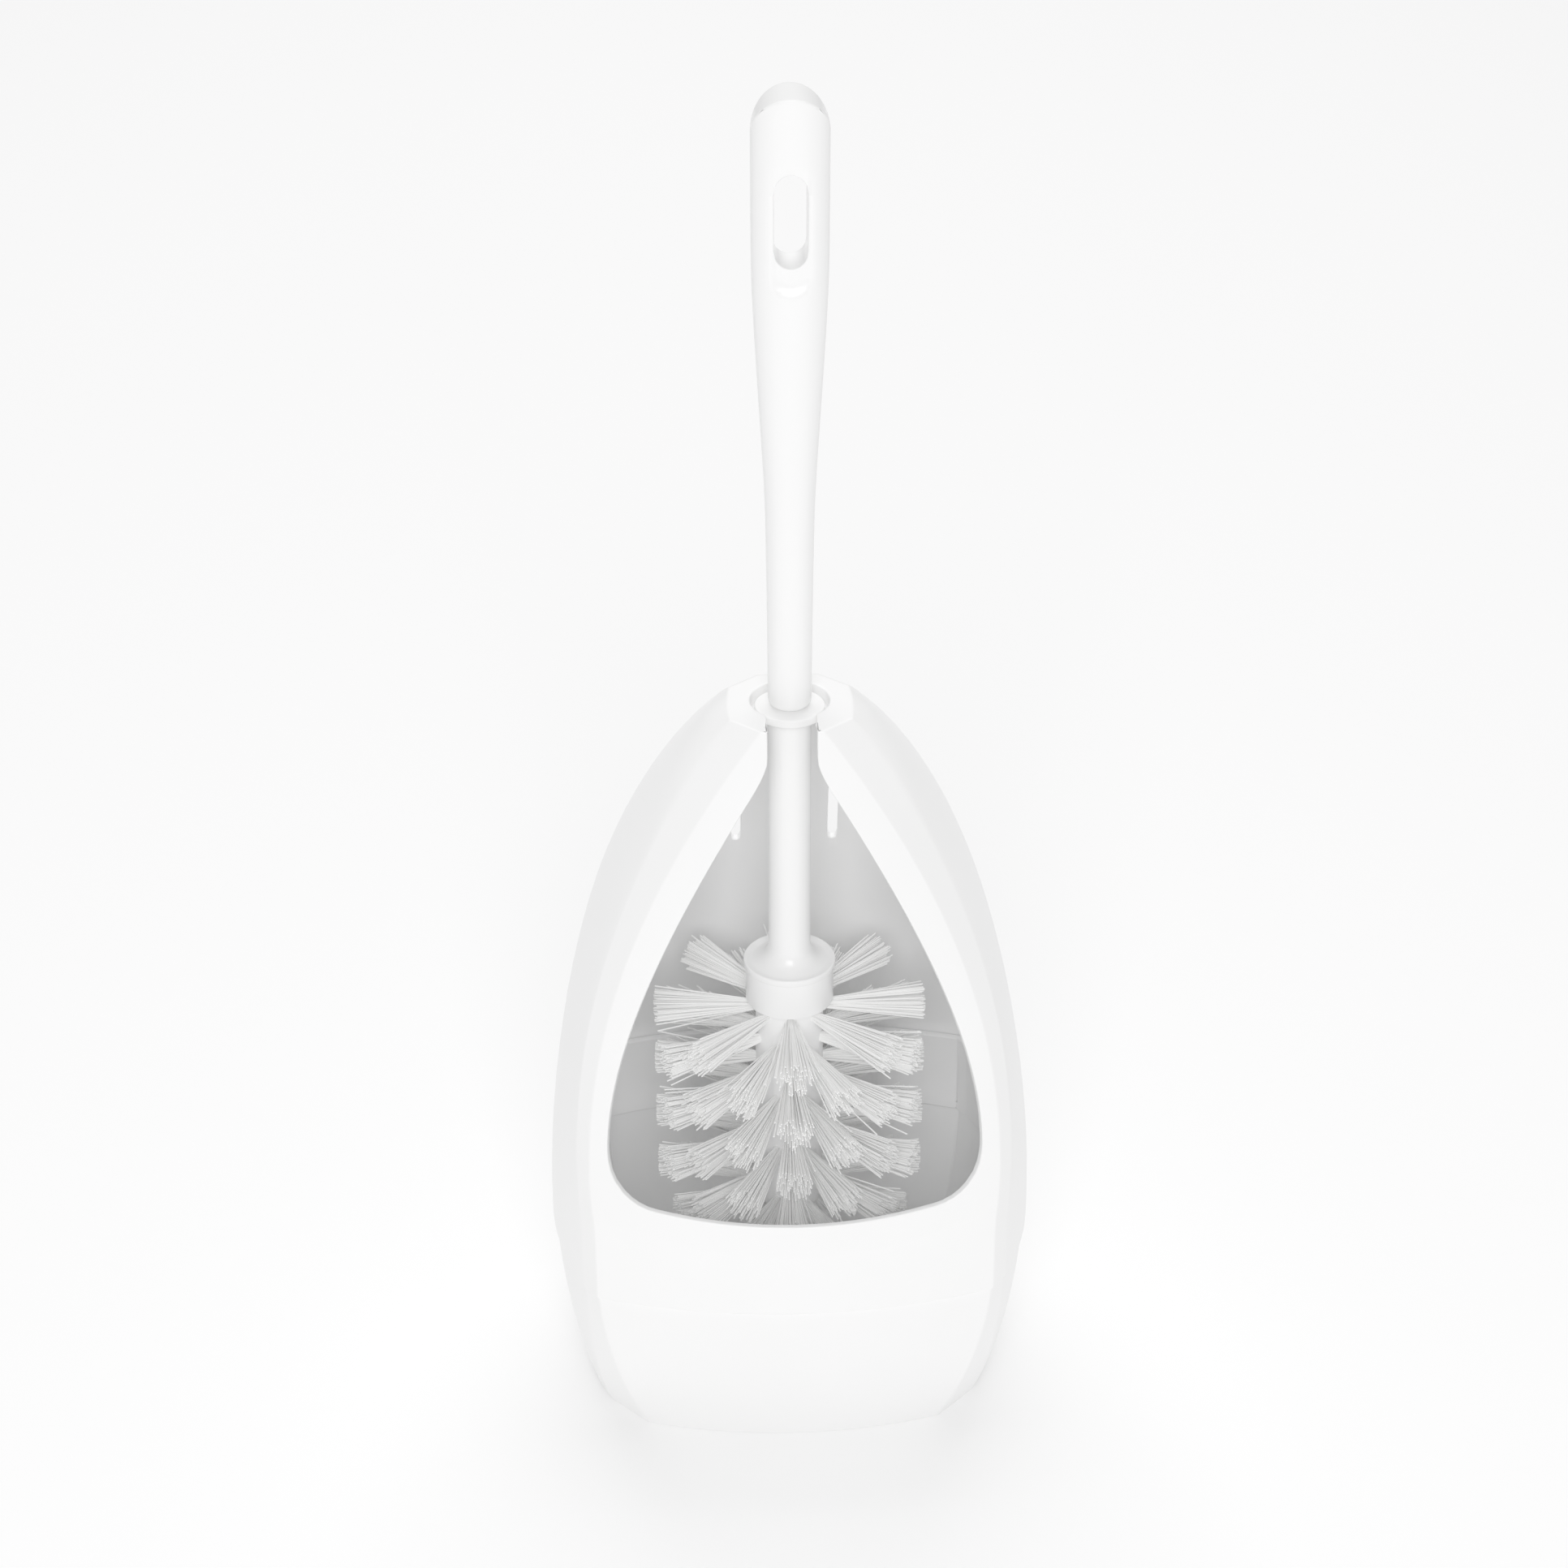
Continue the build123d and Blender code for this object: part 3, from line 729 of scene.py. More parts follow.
wrap = len(columns)
hanger_columns = [c for c, column in enumerate(columns)
                  if column[1] == "hanger" or column[1:] == ("outer", 0.0)]
for row in range(row_top):
    for c in range(wrap):
        d = (c + 1) % wrap
        corners = [(row, c), (row, d), (row + 1, d), (row + 1, c)]
        in_hanger = (c in hanger_columns and d in hanger_columns and columns[c][0] == columns[d][0]
                     and row_low <= row < row_high)
        if in_hanger or not all(corner in point_at for corner in corners):
            continue
        if row >= row_sill and (columns[c][1] == "sill" or columns[d][1] == "sill" or d == 0):
            continue
        shell_faces.append([point_at[corner] for corner in corners])
print(len(shell_faces), "faces in the skin")

# %% [markdown]
# The collar's recess is what carries the brush, so the top needs a true round seat. Each column goes
# on from the top row over the plateau to the recess's edge, down its wall and in over its floor.
# The columns beside the slot end at the slot instead.

# %% Plateau and recess
PLATEAU_STEPS, WALL_STEPS, FLOOR_STEPS = (0.12, 0.5, 0.88, 1.0), (0.5, 1.0), (0.5, 1.0)
first_wall = len(PLATEAU_STEPS) + 1
first_floor = first_wall + len(WALL_STEPS)
last_step = first_floor + len(FLOOR_STEPS) - 1
ring_count = wrap - (sill_columns - 1)
rings = {}
for c in range(ring_count):
    top = skin_point(row_top, columns[c])
    path, on_recess = plateau_path(columns[c], top)
    rings[c, 0] = point_at[row_top, c]
    for k, t in enumerate(PLATEAU_STEPS, 1):
        rings[c, k] = len(shell_points)
        shell_points.append(Vector((mix(top.x, path.x, t), mix(top.y, path.y, t), PLATEAU)))
    if not on_recess:
        continue
    for k, depth in enumerate(WALL_STEPS, first_wall):
        rings[c, k] = len(shell_points)
        shell_points.append(Vector((path.x, path.y, mix(PLATEAU, RECESS_FLOOR, depth))))
    if path.y < 0:
        slot_edge = Vector((math.copysign(SLOT_HALF, path.x), path.y))
    else:
        slot_edge = path * (SLOT_HALF / RECESS_RADIUS)
    for k, t in enumerate(FLOOR_STEPS, first_floor):
        rings[c, k] = len(shell_points)
        spot = path.lerp(slot_edge, t)
        shell_points.append(Vector((spot.x, spot.y, RECESS_FLOOR)))
for c in range(ring_count - 1):
    for k in range(last_step):
        corners = [(c, k), (c + 1, k), (c + 1, k + 1), (c, k + 1)]
        if all(corner in rings for corner in corners):
            shell_faces.append([rings[corner] for corner in corners])
print(len(shell_faces), "faces with the top")

# %% [markdown]
# The wall goes inwards from the skin, and is thinner round the top of the slot, where the slot's
# sides, the plateau and the recess meet within a few millimetres. A vertex group holds the share
# of the full thickness at each point.

# %% Shell moulding
THIN_SHARE = 0.45
THIN_FROM, THIN_OVER = 200.0, 22.0   # the front wall thins from this height on, over this much
FRONT_OF = -5.0                      # depth that counts as the front

shell_mesh = mesh_from("shell_moulding", shell_points, shell_faces)
flip_if(shell_mesh, lambda mesh: sum(p.normal.z * p.area for p in mesh.polygons) < 0)
shell = add_object("shell_moulding", shell_mesh, plastics["shell"])
wall_group = shell.vertex_groups.new(name="wall")
for vertex in shell_mesh.vertices:
    height, depth = vertex.co.z / MM, vertex.co.y / MM
    weight = THIN_SHARE if height > RECESS_FLOOR - 0.1 else 1.0
    if depth < FRONT_OF:
        weight = min(weight, mix(1.0, THIN_SHARE, clamp((height - THIN_FROM) / THIN_OVER)))
    wall_group.add([vertex.index], weight, "REPLACE")
finish_wall(shell, SHELL_WALL, 0.4)
shell.modifiers["wall"].vertex_group = "wall"
shell.modifiers["wall"].use_even_offset = False   # an even offset throws spikes across the slot
settle(shell, "shell", "shell_plastic", "holder_shell")

# %% [markdown]
# ## The drip tray
#
# The tray is the same outline rule drawn in towards its foot. At the rim it steps in, and a spigot
# goes up inside the shell so that the two can't slide apart.

# %% Tray outline
INNER_SWELL, OUTER_SWELL, SIDE_SWELL, DEPTH_SWELL = 1.45, 1.9, 1.6, 2.0   # how fast each widens


def inset_corners(corners, amount):
    """Move the corners of a closed outline in by an amount, square to its edges."""
    moved = []
    for i, corner in enumerate(corners):
        here, before = Vector(corner), Vector(corners[i - 1])
        after = Vector(corners[(i + 1) % len(corners)])
        into, away = (here - before).normalized(), (after - here).normalized()
        n1, n2 = Vector((-into.y, into.x)), Vector((-away.y, away.x))
        moved.append(here + (n1 + n2) * (amount / (1 + n1.dot(n2))))
    return moved


def whole_outline(level):
    """The eight corners of the shell's outline, anticlockwise from the front's left, with bows."""
    right, side_bow, back_bow = shell_corners(level)
    front_bow = FRONT_SEAM + right[0][1] if level < RIDGE else BAND_BOW
    corners = [(-right[0][0], right[0][1])] + right + [(-x, y) for x, y in reversed(right[1:])]
    return corners, [max(front_bow, 0.1), 0, side_bow, 0, back_bow, 0, side_bow, 0]


def tray_outline(level):
    """The tray's eight corners and bows at a level."""
    up = level / SEAM
    corners, bows = whole_outline(SEAM)
    top = inset_corners(corners, TRAY_STEP)
    inner = mix(INNER_FLOOR, top[1].x, swell(up, INNER_SWELL))
    outer = mix(OUTER_FLOOR, top[2].x, swell(up, OUTER_SWELL))
    side = mix(SIDE_FLOOR, top[2].x + bows[2], swell(up, SIDE_SWELL))
    front_bow, back_bow = mix(FLOOR_BOW, bows[0], up), mix(FLOOR_BOW, bows[4], up)
    front = mix(FRONT_FLOOR, -top[1].y + bows[0], swell(up, DEPTH_SWELL)) - front_bow
    back = mix(BACK_FLOOR, top[4].y + bows[4], swell(up, DEPTH_SWELL)) - back_bow
    back_inner = mix(inner, top[4].x, up)
    facet_front = mix(OUTER_FLOOR - INNER_FLOOR, top[2].y - top[1].y, up)
    facet_back = mix(OUTER_FLOOR - INNER_FLOOR, top[4].y - top[3].y, up)
    right = [(inner, -front), (outer, facet_front - front),
             (outer, back - facet_back), (back_inner, back)]
    corners = [(-inner, -front)] + right + [(-x, y) for x, y in reversed(right[1:])]
    return corners, [front_bow, 0, side - outer, 0, back_bow, 0, side - outer, 0]


print("foot is", round(2 * tray_outline(0.0)[0][2][0], 1), "mm wide")

# %% [markdown]
# The skin is a stack of outlines, each with the same number of points: the floor from its middle
# out, the flared wall, the step at the seam, and the spigot, which leans in a little at its top so
# that the shell finds its way on.

# %% Drip tray
FLOOR_SHARES = (0.25, 0.6, 0.9, 0.985)
FOOT_ROW, LAST_WALL_ROW, WALL_ROWS = 0.6, 59.3, 22
SPIGOT_ROWS = (                     # height, and how far in from the shell's outline
    (SEAM, SPIGOT_INSET), (SEAM + 0.8, SPIGOT_INSET), (66.0, SPIGOT_INSET), (72.0, SPIGOT_INSET),
    (79.0, SPIGOT_INSET + 0.6 * SPIGOT_DRAFT), (SPIGOT_TOP, SPIGOT_INSET + SPIGOT_DRAFT))
FOLLOWS_SHELL_TO = 79.5             # above this height the spigot goes straight up

arc_places = [0.0, 0.012] + steps(0.012, 0.988, 24)
flat_places = [0.0] + facet_places[:-1]


def outline_points(corners, bows, level):
    """The points of one closed outline, more of them on a bowed side."""
    points = []
    for i, start in enumerate(corners):
        end = corners[(i + 1) % len(corners)]
        for t in (arc_places if bows[i] else flat_places):
            spot = on_arc(start, end, bows[i], t)
            points.append(Vector((spot.x, spot.y, level)))
    return points


def grid_faces(row_count, column_count):
    """The faces of a grid whose rows are closed rings."""
    return [[r * column_count + c, r * column_count + (c + 1) % column_count,
             (r + 1) * column_count + (c + 1) % column_count, (r + 1) * column_count + c]
            for r in range(row_count - 1) for c in range(column_count)]


tray_rows = []
foot_corners, foot_bows = tray_outline(0.0)
foot = outline_points(foot_corners, foot_bows, 0.0)
for share in FLOOR_SHARES:
    tray_rows.append([Vector((p.x * share, p.y * share, 0.0)) for p in foot])
for level in [0.0, FOOT_ROW] + steps(FOOT_ROW, LAST_WALL_ROW, WALL_ROWS) + [SEAM]:
    tray_rows.append(outline_points(*tray_outline(level), level))
for level, inset in SPIGOT_ROWS:
    corners, bows = whole_outline(min(level, FOLLOWS_SHELL_TO))
    tray_rows.append(outline_points(inset_corners(corners, inset), bows, level))
tray_points = [p for row in tray_rows for p in row]
column_count = len(foot)
tray_faces = grid_faces(len(tray_rows), column_count) + [list(range(column_count))]
tray_mesh = mesh_from("tray_moulding", tray_points, tray_faces)
flip_if(tray_mesh, lambda mesh: sum(p.normal.z * p.area for p in mesh.polygons
                                    if p.center.z < 1e-5) > 0)
tray = add_object("tray_moulding", tray_mesh, plastics["tray"])
finish_wall(tray, TRAY_WALL, 0.5)
settle(tray, "tray", "tray_plastic", "drip_tray")

# %% [markdown]
# ## Turned shapes
#
# The collar, the stem and its flange are round, so each is a profile turned about the brush's axis.
# A short list of radii and heights is enough, and turning it leaves no flats and no seam.

# %% Collar


def turned(name, profile, count=96):
    """Turn a profile of (radius, height) points about the axis."""
    points = [(r * cos(2 * math.pi * k / count), r * sin(2 * math.pi * k / count), z)
              for r, z in profile for k in range(count)]
    return mesh_from(name, points, grid_faces(len(profile), count))


def arc_profile(centre, radius, start, end, count):
    """Points of a profile's arc, between two angles in degrees."""
    return [(centre[0] + radius * cos(radians(mix(start, end, k / count))),
             centre[1] + radius * sin(radians(mix(start, end, k / count)))) for k in range(count + 1)]


STEM_RADIUS, COLLAR_RADIUS, COLLAR_TOP = 6.1, 9.9, 230.4
COLLAR_FOOT_ROUND, COLLAR_TOP_ROUND = 0.25, 0.5
collar_profile = [(0.0, RECESS_FLOOR), (6.0, RECESS_FLOOR)]
collar_profile += arc_profile((COLLAR_RADIUS - COLLAR_FOOT_ROUND, RECESS_FLOOR + COLLAR_FOOT_ROUND),
                              COLLAR_FOOT_ROUND, -90, 0, 3)
collar_profile += arc_profile((COLLAR_RADIUS - COLLAR_TOP_ROUND, COLLAR_TOP - COLLAR_TOP_ROUND),
                              COLLAR_TOP_ROUND, 0, 90, 5)
collar_profile += [(8.0, COLLAR_TOP), (4.0, COLLAR_TOP), (0.0, COLLAR_TOP)]
collar = add_object("collar_disc", turned("collar_disc", collar_profile), plastics["handle"])
settle(collar, "handle", "collar_plastic", "closing_collar")

# %% [markdown]
# The stem is a plain round bar. It sweeps out into the flange in one hollow curve, which leaves no
# corner for water to sit in. The flange's foot has the opening for the head's thread.

# %% Stem and flange
FLANGE_TOP, FLANGE_FOOT, FLANGE_RADIUS, THREAD_HOLE = 146.0, 144.0, 13.5, 3.55
SWEEP, SWEEP_RISE, RIM_ROUND, FOOT_ROUND, THREAD_DEPTH = 6.2, 5.6, 0.45, 0.3, 15
stem_profile = [(0.0, RECESS_FLOOR), (STEM_RADIUS, RECESS_FLOOR), (STEM_RADIUS, RECESS_FLOOR - 1),
                (STEM_RADIUS, 200.0), (STEM_RADIUS, 160.0)]
stem_profile += arc_profile((STEM_RADIUS + SWEEP, FLANGE_TOP + SWEEP_RISE), SWEEP, 180, 262, 12)
stem_profile += arc_profile((FLANGE_RADIUS - RIM_ROUND, FLANGE_TOP - RIM_ROUND), RIM_ROUND, 110, 0, 5)
stem_profile += arc_profile((FLANGE_RADIUS - FOOT_ROUND, FLANGE_FOOT + FOOT_ROUND),
                            FOOT_ROUND, 0, -90, 3)
stem_profile += [(THREAD_HOLE, FLANGE_FOOT), (THREAD_HOLE, FLANGE_FOOT + THREAD_DEPTH),
                 (0.0, FLANGE_FOOT + THREAD_DEPTH)]
stem = add_object("stem_with_flange", turned("stem_with_flange", stem_profile), plastics["handle"])
settle(stem, "handle", "stem_plastic", "brush_stem")

# %% [markdown]
# ## The handle
#
# The handle is an oval that swells from the stem's width to a broad grip. Its top is cut to a
# round arch, a hang slot goes through it, and a shallow dish on each face leads the thumb to the slot.
# Each row of the grid is one oval section, and the columns next to the slot bend round its ends.

# %% Handle sizes
HANDLE_TOP, HANDLE_HALF_WIDTH, HANDLE_HALF_DEPTH, FULL_FROM = 406.0, 10.25, 7.75, 357.0
HANG_HALF, HANG_LOW, HANG_HIGH = 4.4, 361.0, 386.0
DISH_HALF, DISH_LOW, DISH_HIGH, DISH_DEPTH = 6.0, 353.5, 388.5, 1.2
DISH_SIDE = 2.6                    # width over which the dish goes down to its full depth
FOOT_RADIUS = 2.4
ARCH_CENTRE = HANDLE_TOP - HANDLE_HALF_WIDTH
CREASE = cos(radians(24))          # share of the half width where the face turns into the band

width_stations = [(COLLAR_TOP, 6.1), (262.0, 6.34), (293.7, 6.75), (333.0, 9.05),
                  (FULL_FROM, 10.25), (430.0, 10.25)]
depth_stations = [(COLLAR_TOP, 6.1), (262.0, 6.1), (293.7, 6.5), (333.0, 7.26),
                  (FULL_FROM, 7.75), (430.0, 7.75)]


def through(value, stations):
    """Straight runs through (place, size) stations."""
    for (z0, s0), (z1, s1) in zip(stations, stations[1:]):
        if value <= z1:
            return mix(s0, s1, (value - z0) / (z1 - z0))
    return stations[-1][1]


def smooth_through(value, stations, blur=14.0):
    """The same, with its corners blurred into soft bends."""
    samples = [through(max(stations[0][0], value + blur * k / 8), stations) * (9 - abs(k))
               for k in range(-8, 9)]
    return sum(samples) / sum(9 - abs(k) for k in range(-8, 9))


def stadium_inside(x, z):
    """How far a point is inside the dish's outline, which is a slot with round ends."""
    low, high = DISH_LOW + DISH_HALF, DISH_HIGH - DISH_HALF
    beyond = max(low - z, 0, z - high)
    return DISH_HALF - sqrt(x ** 2 + beyond ** 2)


print("grip is", 2 * HANDLE_HALF_WIDTH, "mm wide and", 2 * HANDLE_HALF_DEPTH, "mm deep")

# %% [markdown]
# The places across a face are close together over the hang slot, where they follow its round ends,
# and wider towards the edges. The rows are laid so that one falls on each end of the slot.

# %% Rows and columns of the handle
GRIP_ROWS_FROM = 348.0
HANG_END = 5.4                     # clear of a slot's round end
ARCH_CROWN = 0.9                   # share of the arch up to its last full row
hang_places = [-cos(radians(20 * k)) for k in range(10)]
face_places = [0.15, 0.3, 0.5, 0.7, 0.88, 1.0]
band_places = [0.85, 0.5, 0.0, -0.5, -0.85]

handle_levels = [COLLAR_TOP + FOOT_RADIUS * (1 - cos(radians(a))) for a in (0, 15, 30, 50, 70, 90)]
handle_levels += steps(COLLAR_TOP + FOOT_RADIUS, GRIP_ROWS_FROM, 40)
handle_levels += steps(GRIP_ROWS_FROM, HANG_LOW, 10)
row_hang_low = len(handle_levels) - 1
handle_levels += steps(HANG_LOW + HANG_END, HANG_HIGH - HANG_END, 12)
handle_levels.insert(row_hang_low + 1, HANG_LOW + HANG_END)
handle_levels += [HANG_HIGH]
row_hang_high = len(handle_levels) - 1
handle_levels += steps(HANG_HIGH, ARCH_CENTRE, 7)
row_arch = len(handle_levels) - 1
arch_steps = [0.0] + steps(0.0, ARCH_CROWN, 13) + [1.0]
handle_levels += [ARCH_CENTRE] * (len(arch_steps) - 1)
print(len(handle_levels), "rows in the handle")

# %% [markdown]
# A section is worked out in one go: the front face, the right band, the back face and the left band.
# Above the middle of the arch the flat end of the grid is bent over a half circle.

# %% Handle sections
FULL_SLOT_FROM = 6.5               # half width of the face from which the slot columns stand full
ARCH_BLEND = 0.3


def arch_place(across, climb):
    """Lay the grid's square end over the round arch, so that no cell gets thin."""
    size = HANDLE_HALF_WIDTH * mix(CREASE, 1.0, ease(climb / ARCH_BLEND))
    return (size * across * sqrt(1 - climb ** 2 / 2),
            ARCH_CENTRE + size * climb * sqrt(1 - across ** 2 / 2))


def handle_section(row):
    """One closed section, anticlockwise from the front face's left end."""
    level = handle_levels[row]
    a, b = smooth_through(level, width_stations), smooth_through(level, depth_stations)
    if level < COLLAR_TOP + FOOT_RADIUS:
        up = (level - COLLAR_TOP) / FOOT_RADIUS
        tuck = FOOT_RADIUS * (1 - sqrt(max(0.0, 1 - (1 - up) ** 2)))
        a, b = a - tuck, b - tuck
    crease_x = a * CREASE
    hang = HANG_HALF * min(1.0, crease_x / FULL_SLOT_FROM)
    climb = arch_steps[row - row_arch] if row > row_arch else 0.0
    xs = [p * hang for p in hang_places]
    beyond = [mix(hang, crease_x, p) for p in face_places]
    xs = [-x for x in reversed(beyond)] + xs + beyond
    points = []
    for facing in (-1, 1):
        for x in (xs if facing == -1 else reversed(xs)):
            z = level
            if climb:
                x, z = arch_place(x / crease_x, climb)
            y = b * sqrt(max(0.0, 1 - (x / a) ** 2))
            inside = stadium_inside(x, z)
            if inside > 0:
                y -= DISH_DEPTH * ease(inside / DISH_SIDE)
            if row in (row_hang_low, row_hang_high) and abs(x) <= hang + 1e-6:
                rise = HANG_HALF * (1 - sqrt(max(0.0, 1 - (x / HANG_HALF) ** 2)))
                z += rise if row == row_hang_low else -rise
            points.append(Vector((x, facing * y, z)))
        edge_x, edge_z = arch_place(1.0, climb) if climb else (crease_x, level)
        crease_y = b * sqrt(max(0.0, 1 - (edge_x / a) ** 2))
        limit = sqrt(HANDLE_HALF_WIDTH ** 2 - (edge_z - ARCH_CENTRE) ** 2) if climb else a
        for p in band_places:
            y = crease_y * p
            x = min(limit, a * sqrt(max(0.0, 1 - (y / b) ** 2)))
            points.append(Vector((-facing * x, facing * y, edge_z)))
    return points


sections = [handle_section(row) for row in range(len(handle_levels))]
face_count = len(hang_places) + 2 * len(face_places)
section_count = len(sections[0])
first_hang = len(face_places)
last_hang = first_hang + len(hang_places) - 1
print(section_count, "points in a section")

# %% [markdown]
# The cells over the slot are left out on both faces. The top is closed by a band that goes over
# the arch from the front face to the back one.

# %% Handle faces


def back_of(column):
    """The back column straight behind a front column."""
    return face_count + len(band_places) + (face_count - 1 - column)


handle_points = [p for section in sections for p in section]
handle_faces = []
for row in range(len(sections) - 1):
    for c in range(section_count):
        d = (c + 1) % section_count
        front_pair = first_hang <= c < last_hang
        back_pair = back_of(last_hang) <= c < back_of(first_hang)
        if row_hang_low <= row < row_hang_high and (front_pair or back_pair):
            continue
        base = row * section_count
        handle_faces.append([base + c, base + d, base + section_count + d, base + section_count + c])
handle_faces.append(list(range(section_count)))

# The top band, from the front of the arch over to its back.
last = (len(sections) - 1) * section_count
for c in range(face_count):
    front_point, back_point = handle_points[last + c], handle_points[last + back_of(c)]
    handle_points += [back_point.lerp(front_point, (p + 1) / 2) for p in band_places]


def band_cell(c, k):
    """Index of the top band's point k behind face column c. Its ends belong to the last section."""
    if k == 0:
        return last + c
    if k == len(band_places) + 1:
        return last + back_of(c)
    if c == face_count - 1:
        return last + face_count + k - 1
    if c == 0:
        return last + section_count - k
    return len(sections) * section_count + c * len(band_places) + k - 1


for c in range(face_count - 1):
    for k in range(len(band_places) + 1):
        handle_faces.append([band_cell(c, k), band_cell(c + 1, k),
                             band_cell(c + 1, k + 1), band_cell(c, k + 1)])
print(len(handle_faces), "faces in the handle")

# %% [markdown]
# The slot goes straight through, so each neighbouring pair of points on its front rim is joined to
# the same pair on the back rim. One bevel then rounds the slot's rims and the arch together.

# %% Hang slot and finished handle


def slot_wall(first, second):
    """One face of the hang slot's wall, between two neighbours on its rim."""
    (r0, c0), (r1, c1) = first, second
    handle_faces.append([r0 * section_count + c0, r1 * section_count + c1,
                         r1 * section_count + back_of(c1), r0 * section_count + back_of(c0)])


for c in range(first_hang, last_hang):
    slot_wall((row_hang_low, c), (row_hang_low, c + 1))
    slot_wall((row_hang_high, c + 1), (row_hang_high, c))
for row in range(row_hang_low, row_hang_high):
    slot_wall((row + 1, first_hang), (row, first_hang))
    slot_wall((row, last_hang), (row + 1, last_hang))

handle = add_object("handle_moulding", mesh_from("handle_moulding", handle_points, handle_faces),
                    plastics["handle"])
finish_wall(handle, 0, 0.35, sharp=32.0, segments=3)
settle(handle, "handle", "handle_plastic", "handle_grip")

# %% [markdown]
# ## Bristles
#
# Each tuft is a bundle of stiff straight filaments, folded in two and stapled into its hole. They
# are held tight at the root and fan out to the tip, where they were trimmed to length, so the ends
# are nearly flush. Geometry Nodes scatters the filaments: one point per tuft goes in, each point is
# repeated once for each filament, and a thin prism is stretched from its root to its tip.

# %% Bristle fibre
FIBRE_NOISE = 900.0
fibre, fibre_tree, fibre_shader = new_material("bristle_fibre")
fibre_shader.inputs["Roughness"].default_value = 0.42
fibre_shader.inputs["IOR"].default_value = PLASTIC_IOR
fibre_shade = fibre_tree.nodes.new("ShaderNodeValToRGB")
fibre_dull, fibre_bright = fibre_shade.color_ramp.elements
fibre_dull.color = (0.92, 0.92, 0.91, 1)
fibre_bright.color = (0.98, 0.98, 0.97, 1)
fibre_tree.links.new(noise(fibre_tree, FIBRE_NOISE, 2.0), fibre_shade.inputs["Fac"])
fibre_tree.links.new(fibre_shade.outputs["Color"], fibre_shader.inputs["Base Color"])
print("fibre tones from", round(fibre_dull.color[0], 2), "to", round(fibre_bright.color[0], 2))

# %% [markdown]
# The tree works in the tuft's own frame: out along the tuft, across it, and upright. A filament
# keeps its place in the bundle from root to tip, with a small turn, a few strays and a slightly
# ragged length. Trimming round makes the outer filaments of a bundle a little shorter.

# %% Bristle tree
TIP_TURN = 0.35
TRIM_ROUND = 0.07                  # metres, twice the radius of the trimmed end
FILAMENT_SIDES = 5


